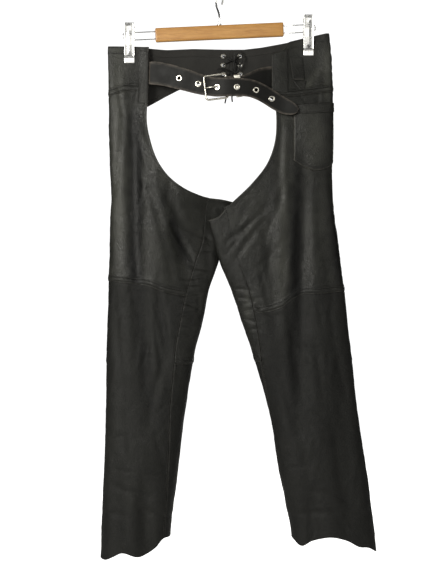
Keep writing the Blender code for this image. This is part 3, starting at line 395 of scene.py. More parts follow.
KEEPER_X, KEEPER_WIDTH, KEEPER_HEIGHT, KEEPER_DEPTH, KEEPER_WALL = 37, 12, 44, 8.8, 1.2
KEEPER_Y, KEEPER_DROP, KEEPER_CORNER = -34.3, 196.3, 2.0

LACE_ROWS = (130, 148, 166)
LACE_HALF = 17
LACE_WIRE = 3.0
LACE_EYELET = (2.6, 3.4, 5.5, 0.8)
LACE_CLEAR = 3.3
LACE_LOOPS = {
    "a": (
        (30.2, 7, 165.3), (36, 4, 162), (42, 0.5, 150), (46, -0.5, 134), (41, -1.5, 122),
        (33, -0.5, 128), (29.5, 1.5, 146), (27.8, 4, 158), (27, 6.2, 163.1),
    ),
    "b": (
        (19.5, 6.4, 167.3), (14, 4, 169.8), (8, 1.5, 172), (-2, -0.5, 168), (-4, -0.5, 159),
        (5, 0.5, 157), (16, 3, 158.6), (22.5, 6.3, 162.7),
    ),
}
LACE_ENDS = {
    "a": (
        (23.1, 5.4, 169.9), (19.5, 0.5, 178), (17, -2.5, 190), (15, -2.5, 204),
        (13, -1.5, 217), (11, -0.5, 227),
    ),
    "b": (
        (26.9, 5.4, 169.9), (30.5, 0.5, 178), (29, -2.5, 191), (27, -2.5, 204),
        (25, -1.5, 216), (26, -0.5, 224),
    ),
}

BAR_LENGTH, BAR_HEIGHT, BAR_DEPTH, BAR_DROP, BAR_TILT = 258, 28, 12, 84, math.radians(2.6)
BOW_HALF, BOW_WIRE, BOW_REACH = 7.5, 2.4, 14
BARREL_RADIUS = 5.8
CLIP_SHEET, COIL_WIRE, ROD_WIRE = 1.2, 1.5, 3.4
HOOK_WIRE, HOOK_RADIUS, HOOK_TURN = 4.0, 20, math.radians(-70)

# How a border is finished: where the mesh is divided, and where its stitches run, both in
# millimetres from the edge.
DIVIDED = {
    "turned": (0.3, 0.8, 1.6, 3, 4.6, 5.4, 6, 6.6, 7.4, 8.6, 10),
    "lap": (0.3, 0.8, 1.3, 1.8, 2.4, 3.4, 5.8, 8.2, 9.3, 10.2, 11.1, 12.4, 14),
    "under": (0.4, 1, 2, 3.5, 6),
    "plain": (0.3, 0.8, 1.6, 2.6, 3.6, 5, 7),
    "band": (0.3, 0.8, 1.4, 2, 2.6, 4, 7, 10, 12.4, 13.3, 14, 14.7, 15.6, 17.5),
    "cut": (0.3, 0.8, 2, 4),
}
STITCHED = {
    "turned": (6,), "lap": (1.8, 10.2), "under": (), "plain": (2.6,), "band": (2, 14), "cut": (),
}
DOUBLED = {"turned": 8.5, "lap": 0, "under": 0, "plain": 0, "band": 15, "cut": 0}

SEEN_HEIGHT = 1.154  # metres that the photo spans at the garment
FLOOR_RADIUS, FLOOR_Z = 9, -1.32

FINISHES = {}
SEWN = {}  # stitch lines of the pieces made so far, in millimetres


# Settings that a user would change.

class LeatherSettings(bpy.types.PropertyGroup):
    """The garment leather and its sewing"""
    colour: bpy.props.FloatVectorProperty(
        name="Leather", description="Colour of the dyed grain side", subtype="COLOR",
        size=3, min=0, max=1, default=(0.0120, 0.0121, 0.0102),
    )
    # The colour along the garment's edges: edge wear, and a painted highlight on the edges.
    worn_and_lit_edge: bpy.props.FloatVectorProperty(
        name="Rubbed leather", description="Colour where edges and ridges are worn",
        subtype="COLOR", size=3, min=0, max=1, default=(0.085, 0.080, 0.068),
    )
    shine: bpy.props.FloatProperty(
        name="Roughness", description="Roughness of the thigh panels", subtype="FACTOR",
        min=0.1, max=1, default=0.46,
    )
    creases: bpy.props.FloatProperty(
        name="Creases", description="Depth of every crease, 1 as photographed",
        min=0, max=2, default=1.0,
    )
    division: bpy.props.FloatProperty(
        name="Division", description="Distance between mesh points on a panel",
        subtype="DISTANCE", unit="LENGTH", min=0.002, max=0.01, default=0.0031,
    )
    stitch: bpy.props.FloatProperty(
        name="Stitch length", description="Length of one stitch and the gap after it",
        subtype="DISTANCE", unit="LENGTH", min=0.002, max=0.01, default=0.0036,
    )
    thread: bpy.props.FloatProperty(
        name="Thread", description="Thickness of the sewing thread", subtype="DISTANCE",
        unit="LENGTH", min=0.0003, max=0.002, default=0.00085,
    )
    thread_colour: bpy.props.FloatVectorProperty(
        name="Thread colour", description="Colour of the sewing thread", subtype="COLOR",
        size=3, min=0, max=1, default=(0.030, 0.029, 0.026),
    )


class BeltSettings(bpy.types.PropertyGroup):
    """The belt, its metal and the lacing"""
    colour: bpy.props.FloatVectorProperty(
        name="Belt leather", description="Colour of the belt's face", subtype="COLOR",
        size=3, min=0, max=1, default=(0.0050, 0.0048, 0.0042),
    )
    cut_edge: bpy.props.FloatVectorProperty(
        name="Cut edge", description="Colour of the belt's cut edge", subtype="COLOR",
        size=3, min=0, max=1, default=(0.20, 0.172, 0.145),
    )
    nickel: bpy.props.FloatVectorProperty(
        name="Nickel", description="Colour of buckle, keeper and eyelets", subtype="COLOR",
        size=3, min=0, max=1, default=(0.80, 0.77, 0.69),
    )
    wire_sides: bpy.props.IntProperty(
        name="Wire sides", description="Faces round the buckle's wire", min=8, max=48, default=20,
    )


class HangerSettings(bpy.types.PropertyGroup):
    """The clip hanger"""
    wood: bpy.props.FloatVectorProperty(
        name="Wood", description="Light tone of the varnished bar", subtype="COLOR",
        size=3, min=0, max=1, default=(0.74, 0.385, 0.105),
    )
    grain: bpy.props.FloatVectorProperty(
        name="Grain", description="Dark tone of the bar's grain", subtype="COLOR",
        size=3, min=0, max=1, default=(0.58, 0.265, 0.062),
    )
    chrome: bpy.props.FloatVectorProperty(
        name="Plating", description="Colour of clips, wires and hook", subtype="COLOR",
        size=3, min=0, max=1, default=(0.90, 0.90, 0.90),
    )
    turns: bpy.props.IntProperty(
        name="Spring turns", description="Turns of each clip's spring", min=4, max=16, default=9,
    )


class StageSettings(bpy.types.PropertyGroup):
    """Floor, light and camera"""
    distance: bpy.props.FloatProperty(
        name="Camera distance", description="From the camera to the garment",
        subtype="DISTANCE", unit="LENGTH", min=1, max=10, default=2.6,
    )
    floor: bpy.props.FloatVectorProperty(
        name="Floor", description="Colour of the floor", subtype="COLOR",
        size=3, min=0, max=1, default=(0.9, 0.9, 0.9),
    )
    key: bpy.props.FloatProperty(
        name="Key light", description="Power of the large light at the left", unit="POWER",
        min=0, max=1000, default=44,
    )
    fill: bpy.props.FloatProperty(
        name="Fill light", description="Power of the large light at the right", unit="POWER",
        min=0, max=1000, default=6,
    )
    front: bpy.props.FloatProperty(
        name="Front light", description="Power of the light above the camera", unit="POWER",
        min=0, max=1000, default=9,
    )
    rear: bpy.props.FloatProperty(
        name="Rear light", description="Power of the light behind the garment", unit="POWER",
        min=0, max=1000, default=34,
    )
    room: bpy.props.FloatProperty(
        name="Room light", description="Strength of the light from all round",
        min=0, max=5, default=0.06,
    )


# Curves and surfaces, all worked out for whole arrays at once.

def curve(table, key, column, at):
    """The column's value at key = at, on a smooth curve through the table's rows."""
    keys = np.array([getattr(row, key) for row in table], float)
    values = np.array([getattr(row, column) for row in table], float)
    count = np.arange(len(keys))
    low = np.maximum(count - 1, 0)
    high = np.minimum(count + 1, len(keys) - 1)
    slope = (values[high] - values[low]) / (keys[high] - keys[low])
    at = np.clip(at, keys[0], keys[-1])
    i = np.clip(np.searchsorted(keys, at, side="right") - 1, 0, len(keys) - 2)
    step = keys[i + 1] - keys[i]
    t = (at - keys[i]) / step
    return (
        (2 * t**3 - 3 * t**2 + 1) * values[i] + (t**3 - 2 * t**2 + t) * slope[i] * step
        + (3 * t**2 - 2 * t**3) * values[i + 1] + (t**3 - t**2) * slope[i + 1] * step
    )


def straight(table, key, column, at):
    return np.interp(at, [getattr(r, key) for r in table], [getattr(r, column) for r in table])


def ease(low, high, value):
    t = np.clip((value - low) / (high - low), 0, 1)
    return t * t * (3 - 2 * t)


def spaced(points, count):
    """count points evenly spaced along a smooth curve through the given points."""
    route = np.array(points, float)
    chord = np.concatenate([[0], np.cumsum(np.linalg.norm(np.diff(route, axis=0), axis=1))])
    slopes = np.gradient(route, chord, axis=0)
    value = np.linspace(0, chord[-1], 24 * len(route))
    i = np.minimum(np.searchsorted(chord, value, side="right") - 1, len(route) - 2)
    step = (chord[i + 1] - chord[i])[:, None]
    t = (value - chord[i])[:, None] / step
    fine = (
        (2 * t**3 - 3 * t**2 + 1) * route[i] + (t**3 - 2 * t**2 + t) * step * slopes[i]
        + (3 * t**2 - 2 * t**3) * route[i + 1] + (t**3 - t**2) * step * slopes[i + 1]
    )
    return evenly(fine, count)


def evenly(points, count):
    """count points evenly spaced along a polyline."""
    points = np.asarray(points, float)
    length = np.concatenate([[0], np.cumsum(np.linalg.norm(np.diff(points, axis=0), axis=1))])
    wanted = np.linspace(0, length[-1], count)
    columns = [np.interp(wanted, length, points[:, k]) for k in range(points.shape[1])]
    return np.column_stack(columns)


def pinch(side, x, drop):
    """1 where a clip's jaws hold the leather flat, falling away to 0 round them."""
    clip = CLIPS[side]
    across = np.maximum(0, np.abs(x - clip.x) - PINCH_FLAT) / PINCH_SIDE
    below = np.maximum(0, drop - clip.bottom - 8) / PINCH_BELOW
    return np.exp(-across**2 - below**2)


def fold_depth(side, front, x, drop):
    total = np.zeros(np.shape(x))
    for fold in FOLDS[side]:
        t = (drop - fold.drop) / (fold.to_drop - fold.drop)
        away = (x - fold.x - (fold.to_x - fold.x) * t) / fold.width
        there = (front == (fold.face == "front")) & (t > 0) & (t < 1)
        run = np.sin(math.pi * np.clip(t, 0, 1)) ** 0.7
        total = total + np.where(there, fold.depth * run * np.exp(-away**2), 0)
    return total


def leg_point(side, angle, drop):
    """The outer face. Angle 0 is the outseam, positive the front, pi the inner leg."""
    outer, inner, depth, thin, lean = (
        curve(LEGS[side], "drop", name, drop) for name in ("outer", "inner", "depth", "thin", "lean")
    )
    share = (1 - np.cos(angle)) / 2
    x = outer + (inner - outer) * share
    face = np.where(np.sin(angle) < 0, 1, -1)
    swell = np.abs(np.sin(angle)) ** ROUNDNESS
    inward = ease(LEAN_FROM, LEAN_FULL, share)
    half = depth / 2 * (1 - (1 - thin) * inward) * swell
    half = half - fold_depth(side, face < 0, x, drop) * swell
    grip = pinch(side, x, drop)
    half = half * (1 - grip) + PINCH_HALF * grip * np.minimum(1, swell * 2)
    return np.stack([x, lean * inward + face * half, -drop + 0 * x], axis=-1)


def unit(vectors):
    """The vectors at a length of one."""
    return vectors / np.linalg.norm(vectors, axis=-1, keepdims=True)


def leg_normal(side, angle, drop):
    across = leg_point(side, angle + 0.012, drop) - leg_point(side, angle - 0.012, drop)
    down = leg_point(side, angle, drop + 1.5) - leg_point(side, angle, drop - 1.5)
    normal = np.cross(down, across) * FACING[side]
    return unit(normal)


def angle_at(side, x, drop, face="front"):
    outer = curve(LEGS[side], "drop", "outer", drop)
    inner = curve(LEGS[side], "drop", "inner", drop)
    share = np.clip((x - outer) / (inner - outer), 0, 1)
    angle = np.arccos(1 - 2 * share)
    return angle if face == "front" else 2 * math.pi - angle


def seam_angle(side, drop):
    return np.radians(np.minimum(curve(LEGS[side], "drop", "seam", drop), 180))


# Creases.

def lattice_noise(points, cell, seed):
    """Smooth noise from -1 to 1 over points in millimetres."""
    table = np.random.default_rng(seed).uniform(-1, 1, (32, 32, 64))
    place = points / np.asarray(cell, float) + 100
    low = np.floor(place).astype(int)
    t = place - low
    t = t * t * (3 - 2 * t)
    total = 0
    for corner in range(8):
        step = np.array([corner & 1, corner >> 1 & 1, corner >> 2])
        i, j, k = np.moveaxis((low + step) % (32, 32, 64), -1, 0)
        total = total + table[i, j, k] * np.prod(np.where(step, t, 1 - t), axis=-1)
    return total


def scattered_creases(side, face):
    """Small creases over a leg, more of them near the knee and the crotch."""
    draw = np.random.default_rng(SCATTER_SEED + (side == "R") + 2 * (face == "back"))
    made = []
    for _ in range(LOOSE_CREASES):
        drop = draw.uniform(150, 1120) if draw.random() < 0.55 else draw.normal(600, 110)
        drop = min(max(drop, 150), 1120)
        outer = float(curve(LEGS[side], "drop", "outer", drop))
        inner = float(curve(LEGS[side], "drop", "inner", drop))
        x = outer + (inner - outer) * draw.uniform(0.04, 0.96)
        level = draw.random() < 0.35
        turn = draw.normal(88 if level else 0, 16)
        length = draw.uniform(22, 60) if level else draw.uniform(40, 130)
        width = draw.uniform(2.8, 5.5) if level else draw.uniform(4, 9)
        depth = draw.uniform(0.35, 0.95) * draw.choice((1, 1, -0.7))
        made.append(Crease(face, x, drop, turn, length, width, depth))
    return made


def crease_height(side, points, angle, drop, scale):
    """How far the leather stands off the smooth surface. It is the same on both sides of a seam."""
    x = points[..., 0]
    front = ease(-0.35, 0.35, np.sin(angle))
    total = np.zeros(x.shape)
    for face, share in (("front", front), ("back", 1 - front)):
        creases = [c for c in CREASES[side] if c.face == face] + scattered_creases(side, face)
        for crease in creases:
            turn = math.radians(crease.turn)
            along = (x - crease.x) * math.sin(turn) + (drop - crease.drop) * math.cos(turn)
            across = (x - crease.x) * math.cos(turn) - (drop - crease.drop) * math.sin(turn)
            bow = np.sin(along / crease.length * 2.2 + crease.x) * crease.width * 0.8
            near = ((across - bow) / crease.width) ** 2
            run = np.exp(-((2 * along / crease.length) ** 4))
            total -= share * run * crease.depth * (1 - 0.9 * near) * np.exp(-near)
    for cell, height, seed in SWELLS:
        total += height * lattice_noise(points, cell, seed + (side == "R"))
    return total * scale * quiet(side, points, drop)


def mottle_and_painted_light(side, points, angle, drop):
    """How light the colour is, 0 to 1: painted highlight and painted shade from the bands, and a slow
    mottling.
    """
    x = points[..., 0]
    front = ease(-0.35, 0.35, np.sin(angle))
    total = 0.30 + 0.12 * lattice_noise(points, (30, 30, 60), 33)
    total += 0.10 * lattice_noise(points, (9, 9, 12), 35)
    for light_band in PAINTED_LIGHT_BANDS[side]:
        share = front if light_band.face == "front" else 1 - front
        t = (drop - light_band.drop) / (light_band.to_drop - light_band.drop)
        away = (x - light_band.x - (light_band.to_x - light_band.x) * t) / light_band.width
        run = np.exp(-((2 * t - 1) / 1.05) ** 6)
        total += share * light_band.amount * run * np.exp(-away**2)
    return np.clip(total, 0, 1)


def quiet(side, points, drop):
    """1 where the leather may crease freely, less under the clips, the belt and the lacing."""
    x = points[..., 0]
    calm = 1 - pinch(side, x, drop)
    lacing = np.exp(-((x - CENTRE_BACK) / 34) ** 4) * (1 - ease(176, 190, drop))
    calm = calm * (1 - 0.97 * lacing)
    inner_edge = 1 - ease(150, 175, np.abs(x))
    hip = inner_edge * (1 - ease(262, 285, drop)) * ease(100, 104, np.abs(x))
    calm = calm * (1 - 0.75 * hip)
    pocket = ease(140, 150, x) * ease(222, 232, drop) * (1 - ease(362, 376, drop)) * (side == "R")
    return calm * (1 - 0.5 * pocket)


def border_height(kind, away):
    """The shape of a finished edge, by the distance from it."""
    rim = -0.55 * np.exp(-((away / 0.55) ** 2))
    if kind == "turned":
        return rim + 0.55 * (1 - ease(6.6, 9, away)) - 0.42 * np.exp(-((away - 6) / 0.8) ** 2)
    if kind == "lap":
        thread = np.exp(-((away - 1.8) / 1.1) ** 2) + np.exp(-((away - 10.2) / 1.3) ** 2)
        return rim + 1.3 * (1 - ease(11.4, 13.6, away)) - 1.0 * thread
    if kind == "under":
        return -0.35 * np.exp(-((away / 2.0) ** 2)) + 0.3 * np.exp(-((away - 4.5) / 2) ** 2)
    if kind == "plain":
        groove = -0.75 * np.exp(-((away / 0.9) ** 2)) + 0.3 * np.exp(-((away - 1.7) / 0.9) ** 2)
        return groove - 0.3 * np.exp(-((away - 2.6) / 0.6) ** 2)
    if kind == "band":
        thread = np.exp(-((away - 2) / 0.7) ** 2) + np.exp(-((away - 14) / 0.7) ** 2)
        return rim + 0.6 * (1 - ease(14.7, 16.8, away)) - 0.4 * thread
    return rim * 0.6


# A rule for a border: its finish, or two finishes and the test that picks the second.
Rule = namedtuple("Rule", "first second test")


def rule_of(value):
    return value if isinstance(value, Rule) else Rule(value, value, None)


def kinds(rule):
    return (rule.first, rule.second)


def marks(rule):
    """The distances from a border at which the mesh is divided."""
    return np.array([0.0, *sorted({d for kind in kinds(rule) for d in DIVIDED[kind]})])


def stops(length, low, high, step):
    """Distances along lines of those lengths: close at both borders, even between them."""
    room = 0.42 * length[:, None]
    low = low[None, :] * np.minimum(1, room / low[-1])
    high = high[None, :] * np.minimum(1, room / high[-1])
    start = low[:, -1]
    end = length - high[:, -1]
    count = max(int(round((end - start).mean() / step)), 2)
    between = start[:, None] + (end - start)[:, None] * np.linspace(0, 1, count + 1)[None, 1:-1]
    return np.concatenate([low, between, length[:, None] - high[:, ::-1]], axis=1)


def redivide(side, channels, low, high, step):
    """Divides a grid's columns anew. Channels are (rows, columns, values), angle and drop first.

    Two channels are added, the distances from the first and from the last row."""
    points = leg_point(side, channels[..., 0], channels[..., 1])
    run = np.concatenate([
        np.zeros((1, points.shape[1])),
        np.cumsum(np.linalg.norm(np.diff(points, axis=0), axis=-1), axis=0),
    ])
    wanted = stops(run[-1], low, high, step)
    made = np.empty((wanted.shape[1], points.shape[1], channels.shape[2] + 2))
    for column in range(points.shape[1]):
        for value in range(channels.shape[2]):
            made[:, column, value] = np.interp(
                wanted[column], run[:, column], channels[:, column, value]
            )
        made[:, column, -2] = wanted[column]
        made[:, column, -1] = run[-1, column] - wanted[column]
    return made


def sewn_line(name, points, runs):
    """Keeps the stretches of a line where runs is true, for the sewing."""
    line = []
    for point, keep in zip(points, runs):
        if keep:
            line.append(point)
            continue
        if len(line) > 2:
            SEWN.setdefault(name, []).append(np.array(line))
        line = []
    if len(line) > 2:
        SEWN.setdefault(name, []).append(np.array(line))


def panel(name, side, places, rules, lift=None, inner_sewing=False, worn=0.0):
    """One piece of leather on the garment's surface, with finished borders, creases and two faces."""
    scene = bpy.context.scene.chaps_leather
    step = scene.division / MM
    rules = {border: rule_of(rules[border]) for border in ("first", "last", "start", "end")}
    grid = redivide(side, np.asarray(places, float), marks(rules["first"]), marks(rules["last"]), step)
    grid = redivide(
        side, grid.transpose(1, 0, 2), marks(rules["start"]), marks(rules["end"]), step
    ).transpose(1, 0, 2)
    angle, drop = grid[..., 0], grid[..., 1]
    away = dict(zip(("first", "last", "start", "end"), np.moveaxis(grid[..., -4:], -1, 0)))
    if lift is not None:
        shares = grid[..., 2:4]
    points = leg_point(side, angle, drop)
    normals = leg_normal(side, angle, drop)
    free = 1 - pinch(side, points[..., 0], drop)
    height = crease_height(side, points, angle, drop, scene.creases)
    doubled = np.zeros(drop.shape)
    pucker = np.zeros(drop.shape)
    edge = np.zeros(drop.shape)
    shadow = np.zeros(drop.shape)
    chosen = {}
    line = {
        "first": np.s_[:1, :], "last": np.s_[-1:, :], "start": np.s_[:, :1], "end": np.s_[:, -1:],
    }
    for border, rule in rules.items():
        second = 0.0
        if rule.test is not None:
            second = rule.test(angle[line[border]], drop[line[border]])
        chosen[border] = np.broadcast_to(second, drop.shape)
        for kind, share in ((rule.first, 1 - chosen[border]), (rule.second, chosen[border])):
            height += border_height(kind, away[border]) * share * free
            if DOUBLED[kind]:
                doubled = np.maximum(doubled, (1 - ease(0, 1, away[border] - DOUBLED[kind])) * share)
            for distance in STITCHED[kind]:
                near = np.exp(-(((away[border] - distance) / 1.2) ** 2))
                shadow = np.maximum(shadow, near * share)
            if kind in ("plain", "under"):
                shadow = np.maximum(shadow, np.exp(-((away[border] / 1.3) ** 2)) * share)
            if kind in ("lap", "plain", "turned", "band"):
                pucker = np.maximum(pucker, np.exp(-((away[border] / 11) ** 2)) * share)
                edge = np.maximum(edge, np.exp(-((away[border] / 1.5) ** 2)) * share)
    height += pucker * 0.42 * free * lattice_noise(points, (7, 7, 7), 21)
    if lift is not None:
        height = height * 0.55 + lift(shares[..., 0], shares[..., 1])
    outside = points + normals * height[..., None]
    inside = outside - normals * (WALL + TURNING * doubled * free)[..., None]
    gaps = [b for b in rules if "plain" in kinds(rules[b]) or {"lap", "under"} & set(kinds(rules[b]))]
    outside, inside = drawn_in(outside, gaps), drawn_in(inside, gaps)
    # The tone attribute carries the painted highlight and painted shade of the bands, with a slow
    # mottling.
    shade = mottle_and_painted_light(side, points, angle, drop)
    obj = shell(name, outside, inside, normals, ("leather", "lining"), {
        "edge": np.clip(edge, 0, 1), "worn": worn + 0 * edge, "tone": shade, "shadow": shadow,
    })
    for border, rule in rules.items():
        sew_border(name, border, rule, chosen[border], away, outside, inside, normals, inner_sewing)
    return obj


def sew_border(name, border, rule, second, away, outside, inside, normals, inner_sewing):
    """Records the stitch lines that run beside one border."""
    across = {"first": ("start", "end"), "last": ("start", "end")}.get(border, ("first", "last"))
    clear = (away[across[0]] > 1.2) & (away[across[1]] > 1.2)
    for kind, picked in ((rule.first, second < 0.5), (rule.second, second >= 0.5)):
        for distance in STITCHED[kind]:
            level = np.abs(away[border] - distance)
            if border in ("first", "last"):
                index = int(level.mean(axis=1).argmin())
                line = np.s_[index, :]
            else:
                index = int(level.mean(axis=0).argmin())
                line = np.s_[:, index]
            keep = clear[line] & picked[line] & (level[line] < 0.3)
            sewn_line(name, outside[line] + normals[line] * THREAD_LIFT, keep)
            if inner_sewing:
                sewn_line(name, inside[line] - normals[line] * THREAD_LIFT, keep)
        if rule.first == rule.second:
            break


def drawn_in(grid, borders):
    """The grid with the named borders moved inwards, which leaves a gap at a seam."""
    grid = grid.copy()
    lines = {
        "first": (np.s_[0, :], np.s_[4, :]), "last": (np.s_[-1, :], np.s_[-5, :]),
        "start": (np.s_[:, 0], np.s_[:, 4]), "end": (np.s_[:, -1], np.s_[:, -5]),
    }
    for border in borders:
        at, beside = lines[border]
        way = grid[beside] - grid[at]
        grid[at] += way / np.maximum(np.linalg.norm(way, axis=-1, keepdims=True), 1e-6) * GAP / 2
    return grid


# Meshes.

def placed(name, data):
    """A new object in the scene."""
    obj = bpy.data.objects.new(name, data)
    bpy.context.scene.collection.objects.link(obj)
    return obj


def mesh_of(name, shape):
    """The bmesh as a mesh, with its faces turned outwards."""
    bmesh.ops.recalc_face_normals(shape, faces=shape.faces)
    data = bpy.data.meshes.new(name)
    shape.to_mesh(data)
    shape.free()
    return data


def ring_faces(rings, sides, closed=False):
    """Quads between neighbouring rings of points."""
    at = np.arange(rings * sides).reshape(rings, sides)
    if closed:
        at = np.vstack([at, at[:1]])
    beside = np.roll(at, -1, axis=1)
    return np.stack([at[:-1], beside[:-1], beside[1:], at[1:]], axis=-1).reshape(-1, 4)


def rounded_ring(half_a, half_b, corner, steps):
    """The outline of a rounded rectangle, anticlockwise."""
    ring = []
    for quarter, (sign_a, sign_b) in enumerate(((1, 1), (-1, 1), (-1, -1), (1, -1))):
        for turn in np.linspace(0, math.pi / 2, steps) + quarter * math.pi / 2:
            ring.append((sign_a * (half_a - corner) + corner * math.cos(turn),
                         sign_b * (half_b - corner) + corner * math.sin(turn)))
    return np.array(ring)


def mesh_object(name, points, faces, finishes, slots=None, marks_by_name=None):
    """A mesh object from points in millimetres."""
    data = bpy.data.meshes.new(name)
    data.from_pydata((np.asarray(points, float) * MM).tolist(), [], faces)
    for finish in finishes:
        data.materials.append(finish_of(finish))
    if slots is not None:
        data.polygons.foreach_set("material_index", np.asarray(slots, np.int32))
    for key, values in (marks_by_name or {}).items():
        layer = data.attributes.new(key, "FLOAT", "POINT")
        layer.data.foreach_set("value", np.asarray(values, np.float32).ravel())
    data.shade_smooth()
    data.validate()
    data.update()
    return placed(name, data)


def shell(name, outside, inside, outward, finishes, marks_by_name):
    """A closed wall between two grids, with a rounded rim."""
    rows, columns = outside.shape[:2]
    count = rows * columns
    at = np.arange(count).reshape(rows, columns)
    quads = np.stack([at[:-1, :-1], at[:-1, 1:], at[1:, 1:], at[1:, :-1]], axis=-1).reshape(-1, 4)
    middle = rows // 2, columns // 2
    beside = outside[middle[0], middle[1] + 1] - outside[middle]
    below = outside[middle[0] + 1, middle[1]] - outside[middle]
    way = np.cross(beside, below)
    rim = np.array([*at[0, :], *at[1:, -1], *at[-1, -2::-1], *at[-2:0:-1, 0]])
    following = np.roll(rim, -1)
    middle_rim = 2 * count + np.arange(len(rim))
    beyond = np.roll(middle_rim, -1)
    rim_faces = np.concatenate([
        np.stack([following, rim, middle_rim, beyond], axis=-1),
        np.stack([beyond, middle_rim, rim + count, following + count], axis=-1),
    ])
    faces = np.concatenate([quads, quads[:, ::-1] + count, rim_faces])
    if way @ outward[middle] < 0:
        faces = faces[:, ::-1]
    flat_out, flat_in = outside.reshape(-1, 3), inside.reshape(-1, 3)
    proud = rim_push(outside, rim) * 0.28
    points = np.concatenate([flat_out, flat_in, (flat_out[rim] + flat_in[rim]) / 2 + proud])
    slots = np.concatenate([np.zeros(len(quads)), np.ones(len(quads)), np.zeros(len(rim_faces))])
    values = {
        key: np.concatenate([np.ravel(value), np.ravel(value), np.ravel(value)[rim]])
        for key, value in marks_by_name.items()
    }
    return mesh_object(name, points, faces.tolist(), finishes, slots, values)


def rim_push(grid, rim):
    """A short outward step from each rim point, in the plane of the leather."""
    rows, columns = grid.shape[:2]
    row, column = np.divmod(rim, columns)
    inner_row = np.clip(row, 1, rows - 2)
    inner_column = np.clip(column, 1, columns - 2)
    way = grid[row, column] - grid[inner_row, inner_column]
    return way / np.maximum(np.linalg.norm(way, axis=-1, keepdims=True), 1e-6)


def frames_along(points, closed=False):
    """Unit tangents and two steady side vectors along a route."""
    points = np.asarray(points, float)
    if closed:
        way = np.roll(points, -1, axis=0) - np.roll(points, 1, axis=0)
    else:
        way = np.gradient(points, axis=0)
    way = unit(way)
    side = np.cross(way[0], (0.31, 0.11, 0.94))
    side /= np.linalg.norm(side)
    sides = []
    for tangent in way:
        side = side - tangent * (side @ tangent)
        side = side / np.linalg.norm(side)
        sides.append(side)
    sides = np.array(sides)
    if closed:
        drift = math.atan2(np.cross(sides[-1], sides[0]) @ way[0], sides[-1] @ sides[0])
        turn = np.linspace(0, drift, len(points))[:, None]
        sides = sides * np.cos(turn) + np.cross(way, sides) * np.sin(turn)
    return way, sides, np.cross(way, sides)


def tube_mesh(points, diameter, sides=16, closed=False, swell=None):
    """Points and faces of a round wire or thong, its ends rounded over."""
    points = np.asarray(points, float)
    radius = np.full(len(points), diameter / 2)
    if swell is not None:
        radius = radius * swell
    if not closed:
        way = np.gradient(points, axis=0)
        way = unit(way)
        bend = np.radians([72, 45, 18])
        start = [points[0] + way[0] * radius[0] * 0.6 * (1 - math.sin(a)) for a in bend]
        end = [points[-1] - way[-1] * radius[-1] * 0.6 * (1 - math.sin(a)) for a in bend[::-1]]
        ends = np.cos(bend)
        points = np.concatenate([start, points[1:-1], end])
        radius = np.concatenate([radius[0] * ends, radius[1:-1], radius[-1] * ends[::-1]])
    _, first, second = frames_along(points, closed)
    turn = np.linspace(0, 2 * math.pi, sides, endpoint=False)
    ring = first[:, None] * np.cos(turn)[None, :, None] + second[:, None] * np.sin(turn)[None, :, None]
    grid = points[:, None] + ring * radius[:, None, None]
    faces = ring_faces(len(points), sides, closed).tolist()
    if not closed:
        last = (len(points) - 1) * sides
        faces += [list(range(sides))[::-1], list(range(last, last + sides))]
    return grid.reshape(-1, 3), faces


def joined(parts):
    """Points and faces of several meshes as one."""
    points, faces, offset = [], [], 0
    for some, their in parts:
        points.append(some)
        faces += [[i + offset for i in face] for face in their]
        offset += len(some)
    return np.concatenate(points), faces


def tube(name, points, diameter, finish, sides=16, closed=False, swell=None):
    return mesh_object(name, *tube_mesh(points, diameter, sides, closed, swell), [finish])


def lathe_mesh(profile, steps):
    """Points and faces of a closed profile of (radius, height) turned round Z."""
    profile = np.asarray(profile, float)
    turn = np.linspace(0, 2 * math.pi, steps, endpoint=False)
    points = np.stack([
        profile[None, :, 0] * np.cos(turn)[:, None],
        profile[None, :, 0] * np.sin(turn)[:, None],
        profile[None, :, 1] + 0 * turn[:, None],
    ], axis=-1)
    return points.reshape(-1, 3), ring_faces(steps, len(profile), closed=True)[:, ::-1].tolist()


def rounded_outline(width, thickness, corner, across=7, crown=0.0):
    """A strap's cross-section, anticlockwise, as (along its width, along its thickness)."""
    half_w, half_t = width / 2, thickness / 2
    corner = min(corner, half_w * 0.8, half_t * 0.95)
    outline = []
    for quarter, (sx, sz) in enumerate(((1, 1), (-1, 1), (-1, -1), (1, -1))):
        for a in np.linspace(0, math.pi / 2, 4) + quarter * math.pi / 2:
            outline.append((sx * (half_w - corner) + corner * math.cos(a),
                            sz * (half_t - corner) + corner * math.sin(a)))
        if quarter in (0, 2):
            sign = 1 if quarter == 0 else -1
            for share in np.linspace(1, -1, across + 2)[1:-1]:
                rise = crown * (1 - share**2)
                outline.append((sign * share * (half_w - corner), sign * (half_t + rise)))
    return np.array(outline)


